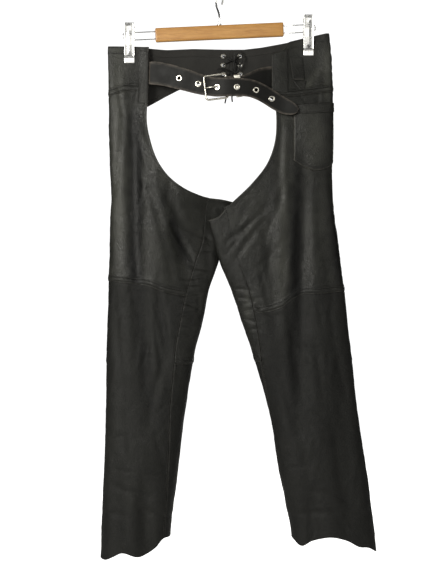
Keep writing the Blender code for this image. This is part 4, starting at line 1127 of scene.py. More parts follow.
def strap_mesh(route, widths, thickness, lean=0.0, wave=None):
    """Points, faces and edge marks of a strap with rounded edges."""
    route = np.asarray(route, float)
    way = np.gradient(route, axis=0)
    way = unit(way)
    upright = np.array([-math.sin(lean), 0, math.cos(lean)])
    up = upright - way * (way @ upright)[:, None]
    up = unit(up)
    face = np.cross(up, way)
    rings, marks_here = [], []
    for i, width in enumerate(widths):
        outline = rounded_outline(width, thickness, 0.9, crown=0.12)
        ring = route[i] + up[i] * outline[:, :1] + face[i] * outline[:, 1:]
        if wave is not None:
            ring = ring + face[i] * wave(i, outline[:, 0])[:, None]
        rings.append(ring)
        marks_here.append(ease(width / 2 - 1.5, width / 2 - 0.4, np.abs(outline[:, 0])))
    grid = np.array(rings)
    at = np.arange(grid.shape[0] * grid.shape[1]).reshape(grid.shape[:2])
    faces = ring_faces(*at.shape)
    way_out = np.cross(grid[0, 1] - grid[0, 0], grid[1, 0] - grid[0, 0])
    if way_out @ (grid[0, 0] - grid[0].mean(axis=0)) < 0:
        faces = faces[:, ::-1]
        caps = [at[0].tolist(), at[-1][::-1].tolist()]
    else:
        caps = [at[0][::-1].tolist(), at[-1].tolist()]
    edge = np.array(marks_here)
    edge[0] = edge[-1] = 1
    return grid.reshape(-1, 3), faces.tolist() + caps, edge.ravel()


def joined_object(name, parts, finish):
    """One object made of several closed meshes."""
    made = mesh_object(name, *joined(parts), [finish])
    tidy_normals(made)
    return made


def tidy_normals(obj):
    """Turns every face outwards on a closed piece."""
    shape = bmesh.new()
    shape.from_mesh(obj.data)
    bmesh.ops.recalc_face_normals(shape, faces=shape.faces)
    shape.to_mesh(obj.data)
    shape.free()
    obj.data.update()


def bored(obj, places, radius, depth):
    """Cuts round holes, each at a point and along a way."""
    for point, way in places:
        shape = bmesh.new()
        bmesh.ops.create_cone(
            shape, cap_ends=True, segments=24, radius1=radius * MM, radius2=radius * MM,
            depth=depth * MM,
        )
        turn = Vector((0, 0, 1)).rotation_difference(Vector(way)).to_matrix().to_4x4()
        place = Matrix.Translation(Vector(point) * MM) @ turn
        bmesh.ops.transform(shape, matrix=place, verts=shape.verts)
        cut_by(obj, shape)


def cut_by(obj, shape):
    """Cuts a bmesh out of the object."""
    cutter = placed("cutter", mesh_of("cutter", shape))
    cut = obj.modifiers.new("cut", "BOOLEAN")
    cut.operation = "DIFFERENCE"
    cut.object = cutter
    graph = bpy.context.evaluated_depsgraph_get()
    data = bpy.data.meshes.new_from_object(obj.evaluated_get(graph))
    obj.modifiers.clear()
    obj.data = data
    bpy.data.objects.remove(cutter)


def finished(obj, slot, *nodes):
    """Hands a piece to the frame."""
    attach(obj, "root")
    if nodes:
        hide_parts(*nodes)
    return obj


# Materials.

def add_node(tree, kind, inputs=None, **settings):
    made = tree.nodes.new(kind)
    for name, value in settings.items():
        setattr(made, name, value)
    for name, value in (inputs or {}).items():
        if isinstance(value, bpy.types.NodeSocket):
            tree.links.new(value, made.inputs[name])
        else:
            made.inputs[name].default_value = value
    return made


def math_node(tree, operation, a, b=0.0):
    return add_node(tree, "ShaderNodeMath", {0: a, 1: b}, operation=operation).outputs[0]


def mix_colour(tree, share, a, b):
    made = add_node(tree, "ShaderNodeMix", data_type="RGBA")
    for socket, value in ((0, share), (6, a), (7, b)):
        if isinstance(value, bpy.types.NodeSocket):
            tree.links.new(value, made.inputs[socket])
        else:
            made.inputs[socket].default_value = (*value, 1) if socket and len(value) == 3 else value
    return made.outputs[2]


def ranged(tree, value, low, high, to_low=0.0, to_high=1.0):
    return add_node(tree, "ShaderNodeMapRange", {
        "Value": value, "From Min": low, "From Max": high, "To Min": to_low, "To Max": to_high,
    }).outputs[0]


def new_group(name, inputs, outputs):
    tree = bpy.data.node_groups.new(name, "ShaderNodeTree")
    for label, kind, value in inputs:
        socket = tree.interface.new_socket(label, in_out="INPUT", socket_type=kind)
        if value is not None:
            socket.default_value = value
    for label in outputs:
        tree.interface.new_socket(label, in_out="OUTPUT", socket_type="NodeSocketFloat")
    return tree, tree.nodes.new("NodeGroupInput"), tree.nodes.new("NodeGroupOutput")


def hide_group():
    """The grain, pores, fine wrinkles and mottling of leather."""
    tree, given, out = new_group("hide_grain", (
        ("Place", "NodeSocketVector", None),
        ("Grain", "NodeSocketFloat", 900.0),
        ("Wrinkle", "NodeSocketFloat", 150.0),
        ("Mottle", "NodeSocketFloat", 26.0),
    ), ("Height", "Mottling", "Fleck"))
    place = given.outputs["Place"]
    pebble = add_node(tree, "ShaderNodeTexVoronoi", {
        "Vector": place, "Scale": given.outputs["Grain"], "Randomness": 0.9,
    }, feature="SMOOTH_F1")
    pebble.inputs["Smoothness"].default_value = 0.35
    wrinkle = add_node(tree, "ShaderNodeTexNoise", {
        "Vector": place, "Scale": given.outputs["Wrinkle"], "Detail": 5.0, "Roughness": 0.62,
        "Distortion": 0.9,
    })
    furrow = math_node(tree, "ABSOLUTE", math_node(tree, "SUBTRACT", wrinkle.outputs[0], 0.5))
    mottle = add_node(tree, "ShaderNodeTexNoise", {
        "Vector": place, "Scale": given.outputs["Mottle"], "Detail": 4.0, "Roughness": 0.6,
    })
    fleck = add_node(tree, "ShaderNodeTexNoise", {
        "Vector": place, "Scale": math_node(tree, "MULTIPLY", given.outputs["Mottle"], 14.0),
        "Detail": 3.0, "Roughness": 0.7,
    })
    height = math_node(tree, "ADD", math_node(tree, "MULTIPLY", pebble.outputs[0], -0.16),
                       math_node(tree, "MULTIPLY", furrow, 1.7))
    tree.links.new(height, out.inputs["Height"])
    tree.links.new(ranged(tree, mottle.outputs[0], 0.32, 0.68), out.inputs["Mottling"])
    tree.links.new(ranged(tree, fleck.outputs[0], 0.35, 0.68), out.inputs["Fleck"])
    return tree


def wear_and_sheen_group():
    """Lighter colour along edges, from the piece's own edge marks, broken up by noise: edge wear, and a
    painted highlight on the edges.
    """
    tree, given, out = new_group("edge_wear", (
        ("Place", "NodeSocketVector", None),
        ("Amount", "NodeSocketFloat", 0.6),
    ), ("Wear",))
    edge = add_node(tree, "ShaderNodeAttribute", attribute_name="edge").outputs["Fac"]
    patch = add_node(tree, "ShaderNodeTexNoise", {
        "Vector": given.outputs["Place"], "Scale": 130.0, "Detail": 4.0, "Roughness": 0.7,
    })
    broken = math_node(tree, "MULTIPLY", edge, ranged(tree, patch.outputs[0], 0.34, 0.60, 0.15, 1.0))
    tree.links.new(math_node(tree, "MULTIPLY", broken, given.outputs["Amount"]), out.inputs["Wear"])
    return tree


def metal_group():
    """Fine scratches and dull patches of plated metal."""
    tree, given, out = new_group("plating_marks", (
        ("Place", "NodeSocketVector", None),
        ("Scratches", "NodeSocketFloat", 700.0),
    ), ("Roughness", "Tarnish", "Height"))
    dull = add_node(tree, "ShaderNodeTexNoise", {
        "Vector": given.outputs["Place"], "Scale": 160.0, "Detail": 5.0, "Roughness": 0.65,
    })
    fine = add_node(tree, "ShaderNodeTexNoise", {
        "Vector": given.outputs["Place"], "Scale": given.outputs["Scratches"], "Detail": 2.0,
        "Distortion": 1.5,
    })
    tree.links.new(ranged(tree, dull.outputs[0], 0.3, 0.75, 0.14, 0.34), out.inputs["Roughness"])
    tree.links.new(ranged(tree, dull.outputs[0], 0.52, 0.74), out.inputs["Tarnish"])
    tree.links.new(fine.outputs[0], out.inputs["Height"])
    return tree


def new_finish(name):
    made = bpy.data.materials.new(name)
    made.use_nodes = True
    tree = made.node_tree
    shader = tree.nodes["Principled BSDF"]
    place = add_node(tree, "ShaderNodeTexCoord").outputs["Object"]
    return made, tree, shader, place


def group_node(tree, name, inputs):
    made = tree.nodes.new("ShaderNodeGroup")
    made.node_tree = bpy.data.node_groups[name]
    for key, value in inputs.items():
        if isinstance(value, bpy.types.NodeSocket):
            tree.links.new(value, made.inputs[key])
        else:
            made.inputs[key].default_value = value
    return made


def bump(tree, shader, height, strength, distance):
    made = add_node(tree, "ShaderNodeBump", {
        "Height": height, "Strength": strength, "Distance": distance,
    })
    tree.links.new(made.outputs[0], shader.inputs["Normal"])


def make_leather():
    settings = bpy.context.scene.chaps_leather
    made, tree, shader, place = new_finish("garment_leather")
    hide = group_node(tree, "hide_grain", {
        "Place": place, "Grain": 820.0, "Wrinkle": 120.0, "Mottle": 24.0,
    })
    wear_and_edge_highlight = group_node(tree, "edge_wear", {"Place": place, "Amount": 0.85}).outputs["Wear"]
    worn = add_node(tree, "ShaderNodeAttribute", attribute_name="worn").outputs["Fac"]
    tone = add_node(tree, "ShaderNodeAttribute", attribute_name="tone").outputs["Fac"]
    base = np.array(settings.colour)
    # Painted shade and painted highlight: a shaded and a lit copy of the leather colour, mixed by the
    # tone attribute.
    dark = mix_colour(tree, hide.outputs["Mottling"], tuple(base * 0.04), tuple(base * 0.22))
    light = mix_colour(tree, hide.outputs["Mottling"], tuple(base * 3.6), tuple(base * 5.4))
    colour = mix_colour(tree, tone, dark, light)
    flecks = math_node(tree, "MULTIPLY", hide.outputs["Fleck"], worn)
    colour = mix_colour(tree, math_node(tree, "MULTIPLY", flecks, 0.55), colour, tuple(base * 2.2))
    # Darker colour on the panels given worn: the shins fully, the thigh backs a quarter.
    colour = mix_colour(tree, math_node(tree, "MULTIPLY", worn, 0.62), colour, tuple(base * 0.2))
    # Lighter along the edges: edge wear, and a painted highlight.
    colour = mix_colour(tree, wear_and_edge_highlight, colour, tuple(settings.worn_and_lit_edge))
    shadow = add_node(tree, "ShaderNodeAttribute", attribute_name="shadow").outputs["Fac"]
    colour = mix_colour(tree, math_node(tree, "MULTIPLY", shadow, 0.85), colour, tuple(base * 0.2))
    tree.links.new(colour, shader.inputs["Base Color"])
    rough = math_node(tree, "ADD", settings.shine - 0.05, math_node(tree, "MULTIPLY", worn, 0.17))
    rough = math_node(tree, "ADD", rough, math_node(tree, "MULTIPLY", hide.outputs["Mottling"], 0.09))
    rough = math_node(tree, "SUBTRACT", rough, math_node(tree, "MULTIPLY", wear_and_edge_highlight, 0.05))
    rough = math_node(tree, "SUBTRACT", rough, math_node(tree, "MULTIPLY", tone, 0.10))
    tree.links.new(rough, shader.inputs["Roughness"])
    shader.inputs["Specular IOR Level"].default_value = 0.36
    bump(tree, shader, hide.outputs["Height"], 0.8, 0.0012)
    return made


def make_lining():
    made, tree, shader, place = new_finish("flesh_side")
    nap = add_node(tree, "ShaderNodeTexNoise", {
        "Vector": place, "Scale": 900.0, "Detail": 5.0, "Roughness": 0.75,
    })
    cloud = add_node(tree, "ShaderNodeTexNoise", {
        "Vector": place, "Scale": 22.0, "Detail": 4.0, "Roughness": 0.6,
    })
    colour = mix_colour(
        tree, ranged(tree, cloud.outputs[0], 0.3, 0.7), (0.016, 0.0155, 0.0145), (0.030, 0.029, 0.0265)
    )
    colour = mix_colour(tree, ranged(tree, nap.outputs[0], 0.45, 0.75), colour, (0.050, 0.047, 0.042))
    tree.links.new(colour, shader.inputs["Base Color"])
    tree.links.new(ranged(tree, nap.outputs[0], 0.3, 0.7, 0.66, 0.86), shader.inputs["Roughness"])
    shader.inputs["Sheen Weight"].default_value = 0.12
    shader.inputs["Specular IOR Level"].default_value = 0.35
    bump(tree, shader, nap.outputs[0], 0.5, 0.0005)
    return made


def make_belt_leather():
    settings = bpy.context.scene.chaps_belt
    made, tree, shader, place = new_finish("belt_leather_finish")
    hide = group_node(tree, "hide_grain", {
        "Place": place, "Grain": 1150.0, "Wrinkle": 210.0, "Mottle": 38.0,
    })
    wear_and_edge_highlight = group_node(tree, "edge_wear", {"Place": place, "Amount": 0.95}).outputs["Wear"]
    base = np.array(settings.colour)
    colour = mix_colour(tree, hide.outputs["Mottling"], tuple(base * 0.8), tuple(base * 1.5))
    colour = mix_colour(tree, math_node(tree, "MULTIPLY", hide.outputs["Fleck"], 0.3), colour,
                        tuple(base * 2.4))
    # The cut edge's colour along the belt's edges, also standing for a painted highlight there.
    colour = mix_colour(tree, wear_and_edge_highlight, colour, tuple(settings.cut_edge))
    tree.links.new(colour, shader.inputs["Base Color"])
    roughness = ranged(tree, hide.outputs["Mottling"], 0.0, 1.0, 0.5, 0.66)
    tree.links.new(roughness, shader.inputs["Roughness"])
    shader.inputs["Specular IOR Level"].default_value = 0.3
    bump(tree, shader, hide.outputs["Height"], 0.34, 0.0004)
    return made


def make_thong():
    """The lacing's dull round leather."""
    settings = bpy.context.scene.chaps_belt
    made, tree, shader, place = new_finish("thong_leather")
    hide = group_node(tree, "hide_grain", {
        "Place": place, "Grain": 1600.0, "Wrinkle": 420.0, "Mottle": 90.0,
    })
    base = np.array(settings.colour)
    colour = mix_colour(tree, hide.outputs["Mottling"], tuple(base), tuple(base * 2.6))
    tree.links.new(colour, shader.inputs["Base Color"])
    tree.links.new(ranged(tree, hide.outputs["Fleck"], 0.0, 1.0, 0.5, 0.7), shader.inputs["Roughness"])
    bump(tree, shader, hide.outputs["Height"], 0.4, 0.0004)
    return made


def make_thread():
    settings = bpy.context.scene.chaps_leather
    made, tree, shader, place = new_finish("sewing_thread")
    twist = add_node(tree, "ShaderNodeTexNoise", {"Vector": place, "Scale": 2400.0, "Detail": 2.0})
    base = np.array(settings.thread_colour)
    ply = ranged(tree, twist.outputs[0], 0.3, 0.7)
    colour = mix_colour(tree, ply, tuple(base * 0.7), tuple(base * 1.7))
    tree.links.new(colour, shader.inputs["Base Color"])
    tree.links.new(ranged(tree, twist.outputs[0], 0.3, 0.7, 0.5, 0.7), shader.inputs["Roughness"])
    bump(tree, shader, twist.outputs[0], 0.4, 0.0002)
    return made


def make_metal(name, colour, dull, base_roughness):
    made, tree, shader, place = new_finish(name)
    plating = group_node(tree, "plating_marks", {"Place": place, "Scratches": 760.0})
    base = np.array(colour)
    tone = mix_colour(
        tree, math_node(tree, "MULTIPLY", plating.outputs["Tarnish"], dull), tuple(base),
        tuple(base * (0.55, 0.51, 0.45)),
    )
    tree.links.new(tone, shader.inputs["Base Color"])
    rough = math_node(tree, "ADD", plating.outputs["Roughness"], base_roughness)
    tree.links.new(rough, shader.inputs["Roughness"])
    shader.inputs["Metallic"].default_value = 1.0
    bump(tree, shader, plating.outputs["Height"], 0.06, 0.0001)
    return made


def make_wood():
    settings = bpy.context.scene.chaps_hanger
    made, tree, shader, place = new_finish("varnished_bar")
    along = add_node(tree, "ShaderNodeMapping", {"Vector": place})
    along.inputs["Rotation"].default_value = (0, BAR_TILT, 0)
    along.inputs["Scale"].default_value = (0.09, 1.0, 1.0)
    rings = add_node(tree, "ShaderNodeTexNoise", {
        "Vector": along.outputs[0], "Scale": 190.0, "Detail": 4.0, "Roughness": 0.55,
        "Distortion": 0.6,
    })
    pores = add_node(tree, "ShaderNodeTexNoise", {
        "Vector": along.outputs[0], "Scale": 1100.0, "Detail": 3.0, "Roughness": 0.7,
    })
    colour = mix_colour(
        tree, ranged(tree, rings.outputs[0], 0.34, 0.66), tuple(settings.wood), tuple(settings.grain)
    )
    speck = ranged(tree, pores.outputs[0], 0.56, 0.72)
    colour = mix_colour(tree, math_node(tree, "MULTIPLY", speck, 0.45), colour, (0.27, 0.11, 0.03))
    tree.links.new(colour, shader.inputs["Base Color"])
    tree.links.new(ranged(tree, rings.outputs[0], 0.3, 0.7, 0.32, 0.46), shader.inputs["Roughness"])
    shader.inputs["Coat Weight"].default_value = 0.35
    shader.inputs["Coat Roughness"].default_value = 0.12
    bump(tree, shader, pores.outputs[0], 0.12, 0.0002)
    return made


def finish_of(name):
    """The named finish, made when it is first asked for."""
    if name in FINISHES:
        return FINISHES[name]
    if "hide_grain" not in bpy.data.node_groups:
        hide_group()
        wear_and_sheen_group()
        metal_group()
    belt, hanger = bpy.context.scene.chaps_belt, bpy.context.scene.chaps_hanger
    makers = {
        "leather": make_leather,
        "lining": make_lining,
        "belt": make_belt_leather,
        "thong": make_thong,
        "thread": make_thread,
        "nickel": lambda: make_metal("nickel_plate", belt.nickel, 0.55, 0.02),
        "aged": lambda: make_metal("aged_plate", np.array(belt.nickel) * 0.35, 0.9, 0.12),
        "chrome": lambda: make_metal("bright_plate", hanger.chrome, 0.12, -0.02),
        "wood": make_wood,
    }
    FINISHES[name] = makers[name]()
    return FINISHES[name]


# Geometry Nodes.

def geometry_tree(name, sockets):
    tree = bpy.data.node_groups.new(name, "GeometryNodeTree")
    tree.interface.new_socket("Geometry", in_out="INPUT", socket_type="NodeSocketGeometry")
    for label, kind, value in sockets:
        socket = tree.interface.new_socket(label, in_out="INPUT", socket_type=kind)
        if value is not None:
            socket.default_value = value
    tree.interface.new_socket("Geometry", in_out="OUTPUT", socket_type="NodeSocketGeometry")
    return tree, tree.nodes.new("NodeGroupInput"), tree.nodes.new("NodeGroupOutput")


def stitch_tree():
    """Stitches set end to end along the lines, each a long bead pressed into the leather."""
    tree, given, out = geometry_tree("stitches_on_lines", (
        ("Pitch", "NodeSocketFloat", 0.0036),
        ("Thread", "NodeSocketFloat", 0.0009),
        ("Slant", "NodeSocketFloat", 0.12),
        ("Seed", "NodeSocketInt", 5),
        ("Finish", "NodeSocketMaterial", None),
    ))
    divided = add_node(tree, "GeometryNodeResampleCurve", {
        "Curve": given.outputs["Geometry"], "Length": given.outputs["Pitch"],
    }, mode="LENGTH")
    tangent = add_node(tree, "GeometryNodeInputTangent")
    bead = add_node(tree, "GeometryNodeMeshUVSphere", {"Segments": 6, "Rings": 4, "Radius": 0.5})
    aim = add_node(tree, "FunctionNodeAlignRotationToVector", {"Vector": tangent.outputs[0]}, axis="Z")
    wobble = add_node(tree, "FunctionNodeRandomValue", data_type="FLOAT_VECTOR")
    slant = add_node(tree, "ShaderNodeVectorMath", {0: (1, 1, 1)}, operation="SCALE")
    tree.links.new(given.outputs["Slant"], slant.inputs["Scale"])
    back = add_node(tree, "ShaderNodeVectorMath", {0: slant.outputs[0]}, operation="SCALE")
    back.inputs["Scale"].default_value = -1.0
    tree.links.new(back.outputs[0], wobble.inputs[0])
    tree.links.new(slant.outputs[0], wobble.inputs[1])
    tree.links.new(given.outputs["Seed"], wobble.inputs["Seed"])
    turned = add_node(tree, "FunctionNodeEulerToRotation", {0: wobble.outputs[0]})
    both = add_node(tree, "FunctionNodeRotateRotation", {
        "Rotation": aim.outputs[0], "Rotate By": turned.outputs[0],
    }, rotation_space="LOCAL")
    thread = given.outputs["Thread"]
    size = add_node(tree, "ShaderNodeCombineXYZ", {"X": thread, "Y": thread})
    length = math_node(tree, "MULTIPLY", given.outputs["Pitch"], 0.86)
    tree.links.new(length, size.inputs["Z"])
    placed = add_node(tree, "GeometryNodeInstanceOnPoints", {
        "Points": divided.outputs[0], "Instance": bead.outputs[0],
        "Rotation": both.outputs[0], "Scale": size.outputs[0],
    })
    real = add_node(tree, "GeometryNodeRealizeInstances", {"Geometry": placed.outputs[0]})
    smooth = add_node(tree, "GeometryNodeSetShadeSmooth", {"Geometry": real.outputs[0]})
    finish = add_node(tree, "GeometryNodeSetMaterial", {
        "Geometry": smooth.outputs[0], "Material": given.outputs["Finish"],
    })
    tree.links.new(finish.outputs[0], out.inputs[0])
    return tree


def eyelet_tree():
    """One turned piece on each point, its axis along the point's way."""
    tree, given, out = geometry_tree("turned_pieces_on_points", (
        ("Piece", "NodeSocketObject", None),
        ("Finish", "NodeSocketMaterial", None),
    ))
    piece = add_node(tree, "GeometryNodeObjectInfo", {"Object": given.outputs["Piece"]})
    way = add_node(tree, "GeometryNodeInputNamedAttribute", {"Name": "way"}, data_type="FLOAT_VECTOR")
    aim = add_node(tree, "FunctionNodeAlignRotationToVector", {"Vector": way.outputs[0]}, axis="Z")
    placed = add_node(tree, "GeometryNodeInstanceOnPoints", {
        "Points": given.outputs["Geometry"], "Instance": piece.outputs["Geometry"],
        "Rotation": aim.outputs[0],
    })
    real = add_node(tree, "GeometryNodeRealizeInstances", {"Geometry": placed.outputs[0]})
    finish = add_node(tree, "GeometryNodeSetMaterial", {
        "Geometry": real.outputs[0], "Material": given.outputs["Finish"],
    })
    tree.links.new(finish.outputs[0], out.inputs[0])
    return tree


def with_nodes(obj, tree, values):
    """Runs a Geometry Nodes tree on the object and keeps the plain mesh that it gives."""
    modifier = obj.modifiers.new(tree.name, "NODES")
    modifier.node_group = tree
    for item in tree.interface.items_tree:
        if item.item_type == "SOCKET" and item.in_out == "INPUT" and item.name in values:
            modifier[item.identifier] = values[item.name]
    graph = bpy.context.evaluated_depsgraph_get()
    data = bpy.data.meshes.new_from_object(obj.evaluated_get(graph))
    name = obj.name
    bpy.data.objects.remove(obj)
    return placed(name, data)


def sewing(name, lines):
    """A row of stitches on each line."""
    settings = bpy.context.scene.chaps_leather
    data = bpy.data.curves.new(name, "CURVE")
    data.dimensions = "3D"
    for line in lines:
        spline = data.splines.new("POLY")
        spline.points.add(len(line) - 1)
        coordinates = np.column_stack([line * MM, np.ones(len(line))])
        spline.points.foreach_set("co", coordinates.ravel())
    tree = bpy.data.node_groups.get("stitches_on_lines") or stitch_tree()
    return with_nodes(placed(name, data), tree, {
        "Pitch": settings.stitch, "Thread": settings.thread, "Slant": 0.10, "Seed": 5,
        "Finish": finish_of("thread"),
    })


def eyelets(name, places, shape, grip, steps, finish):
    """Eyelets at each (point, way): a barrel with a rolled flange at each end."""
    bore, barrel, flange, rim = shape
    top = grip + rim
    roll = [
        (bore, top - 0.5), (bore + 0.3, top - 0.1), (bore + 0.9, top), (flange - 0.9, top - 0.08),
        (flange - 0.25, top - 0.3), (flange, grip + 0.12), (flange - 0.15, grip), (barrel, grip),
    ]
    profile = roll + [(r, -z) for r, z in reversed(roll)]
    piece = mesh_object(name + "_piece", *lathe_mesh(profile, steps), [finish])
    tidy_normals(piece)
    data = bpy.data.meshes.new(name)
    data.from_pydata([tuple(np.asarray(p) * MM) for p, _ in places], [], [])
    layer = data.attributes.new("way", "FLOAT_VECTOR", "POINT")
    layer.data.foreach_set("vector", np.array([w for _, w in places], np.float32).ravel())
    tree = bpy.data.node_groups.get("turned_pieces_on_points") or eyelet_tree()
    made = with_nodes(placed(name, data), tree, {"Piece": piece, "Finish": finish_of(finish)})
    bpy.data.objects.remove(piece)
    if made.data.attributes.get("way"):
        made.data.attributes.remove(made.data.attributes["way"])
    return made


# The panels' grids of (angle, drop), as the solids have them.

def share_at(angle):
    return (1 - np.cos(angle)) / 2


def hem_line(side):
    def line(angle):
        front = curve(HEMS[side], "share", "front", share_at(angle))
        back = curve(HEMS[side], "share", "back", share_at(angle))
        return np.where(np.sin(angle) < 0, back, front)
    return line


def knee_line(side):
    return lambda angle: curve(KNEE_FRONT[side], "share", "drop", share_at(angle))


def x_line(side, table):
    def line(angle):
        return straight(table, "x", "drop", leg_point(side, angle, YOKE_DROP + 0 * angle)[..., 0])
    return line


def outer_rows(low, high, count):
    return np.column_stack([np.zeros(count), np.linspace(low, high, count)])


def seam_rows(side, low, high, count):
    drops = np.linspace(low, high, count)
    return np.column_stack([seam_angle(side, drops), drops])


def edge_rows(side, points, count, face="front"):
    route = spaced(points, count + 1)[1:]
    return np.column_stack([angle_at(side, route[:, 0], route[:, 1], face), route[:, 1]])


def rows_between(starts, ends, columns, low=None, high=None):
    share = np.linspace(0, 1, columns)[None, :, None]
    rows = starts[:, None] + (ends - starts)[:, None] * share
    last = len(rows) - 1
    for line, row, power in ((low, 0, 2), (high, last, 3)):
        if line is not None:
            miss = line(rows[row, :, 0]) - rows[row, :, 1]
            fade = (1 - np.abs(np.arange(last + 1) - row) / last) ** power
            rows[:, :, 1] += miss[None, :] * fade[:, None]
    return rows


def thigh_back_rows(side, seam):
    knee, crotch = seam[0], seam[-1]
    top = np.concatenate([
        [(float(seam_angle(side, crotch)), crotch)],
        edge_rows(side, OPENING_INSIDE[side], INSIDE_COLUMNS),
        edge_rows(side, OPENING_BACK[side], EDGE_COLUMNS, "back"),
    ])
    hip = np.linspace(top[-1, 0], 2 * math.pi, HIP_COLUMNS)[1:]
    top = np.concatenate([top, np.column_stack([hip, x_line(side, YOKE_BACK)(hip)])])
    start_low, start_high = float(seam_angle(side, knee)), top[0, 0]
    bottom = np.linspace(start_low, 2 * math.pi, len(top))
    t = ((knee - seam) / (knee - crotch))[:, None]
    miss = seam_angle(side, seam)[:, None] - (start_low + (start_high - start_low) * t)
    fade = (1 - np.arange(len(top)) / (len(top) - 1)) ** 2
    angle = bottom + (top[:, 0] - bottom) * t + miss * fade
    return np.stack([angle, knee + (top[:, 1] - knee) * t], axis=-1)


def yoke_rows(side):
    front_x, back_x = OPENING_FRONT[side][-1].x, OPENING_BACK[side][-1].x
    centre_x = CENTRE_BACK - GAP / 2 * FACING[side]

    def angles(front_drop, back_drop, centre_drop):
        front = angle_at(side, front_x, front_drop)
        back = angle_at(side, back_x, back_drop, "back") - 2 * math.pi
        centre = angle_at(side, centre_x, centre_drop, "back") - 2 * math.pi
        return np.concatenate([
            np.linspace(front, 0, FRONT_COLUMNS),
            np.linspace(0, back, HIP_COLUMNS)[1:],
            np.linspace(back, centre, YOKE_COLUMNS)[1:],
        ])

    low_angles = angles(
        OPENING_FRONT[side][-1].drop, OPENING_BACK[side][-1].drop,
        straight(YOKE_BACK, "x", "drop", CENTRE_BACK),
    )
    column = np.arange(len(low_angles))
    front = column < FRONT_COLUMNS - 1
    x = leg_point(side, low_angles, YOKE_DROP + 0 * low_angles)[..., 0]
    low = np.where(
        front, x_line(side, YOKE_FRONT[side])(low_angles), x_line(side, YOKE_BACK)(low_angles)
    )
    high = np.where(
        front, straight(TOP_FRONT[side], "x", "drop", x), straight(TOP_BACK, "x", "drop", x)
    )
    rows = []
    for t in np.linspace(0, 1, YOKE_ROWS):
        drop = low + (high - low) * t
        shift = [angles(d, d, d)[k] - angles(e, e, e)[k] for k, (d, e) in enumerate(zip(drop, low))]
        rows.append(np.column_stack([low_angles + shift, drop]))
    return np.array(rows)


def sheet_of(side, places):
    """Works out the points of a panel's grid in metres, and keeps nothing."""
    points = leg_point(side, places[..., 0], places[..., 1]) * MM


def borders(first, last, start="plain", end="plain"):
    """How the four borders of a panel are finished."""
    return {"first": first, "last": last, "start": start, "end": end}


def leather_piece(name, node, side, rows, rules, rests_on=(), **shaping):
    """Makes a panel that stands for one node, and hides that node."""
    made = panel("leather_" + name, side, rows, rules, **shaping)
    finished(made, "black_leather", node)
    sheet_of(side, rows)


def patch_rows(side, start, end, bottom, top):
    """The grid of a small piece from edge to edge and from its bottom to its top."""
    x = start + (end - start) * PATCH_ACROSS + 0 * PATCH_UP
    drop = bottom + (top - bottom) * PATCH_UP + 0 * PATCH_ACROSS
    shares = np.broadcast_arrays(PATCH_ACROSS, PATCH_UP)
    return np.stack([angle_at(side, x, drop), drop, *shares], axis=-1)


# Belt, buckle and lacing routes.

def strap_route(stations, count):
    rows = spaced([(s.x, s.y, -s.drop, s.width) for s in stations], count)
    return rows[:, :3], rows[:, 3]


def belt_frame(x):
    route, _ = strap_route(BELT, 400)
    i = int(np.abs(route[:, 0] - x).argmin())
    way = route[i + 3] - route[i - 3]
    face = np.cross((0, 0, 1), way)
    return route[i], face / np.linalg.norm(face)


def back_side(x):
    return "L" if x < CENTRE_BACK else "R"


def back_point(x, drop):
    side = back_side(x)
    return leg_point(side, angle_at(side, x, drop, "back"), np.asarray(float(drop)))


def back_normal(x, drop):
    side = back_side(x)
    return leg_normal(side, angle_at(side, x, drop, "back"), np.asarray(float(drop)))


def lace_frame(column, drop, off):
    x = CENTRE_BACK + column * LACE_HALF
    outer = back_point(x, drop)
    y = outer[1] - WALL - off if off >= 0 else outer[1] - off
    return np.array([x, y, -drop])


def lace_routes():
    top, middle, low = LACE_ROWS
    near, far = LACE_CLEAR, LACE_CLEAR + LACE_WIRE + GAP
    through = 1.9
    routes = {}
    for label, column in (("a", 1), ("b", -1)):
        cross = near if label == "a" else far
        routes[label] = [
            lace_frame(column * 0.05, top, -near),
            lace_frame(column * 0.6, top, -near),
            lace_frame(column, top, -through),
            lace_frame(column, top, through),
            lace_frame(column * 0.75, top + 3, near),
            lace_frame(0, (top + middle) / 2, cross),
            lace_frame(-column * 0.75, middle - 3, near),
            lace_frame(-column, middle, through),
            lace_frame(-column, middle, -through),
            lace_frame(-column * 0.75, middle + 3, -near),
            lace_frame(0, (middle + low) / 2, -cross),
            lace_frame(column * 0.75, low - 3, -near),
            lace_frame(column, low, -through),
            lace_frame(column, low, through),
            lace_frame(column * 0.8, low + 1, near),
            lace_frame(column * 0.4, low + 1, near + 1),
        ]
    return routes


def on_bar(along, rise):
    return np.array([
        along * math.cos(BAR_TILT) - rise * math.sin(BAR_TILT),
        0,
        -BAR_DROP + along * math.sin(BAR_TILT) + rise * math.cos(BAR_TILT),
    ])


# Operators.

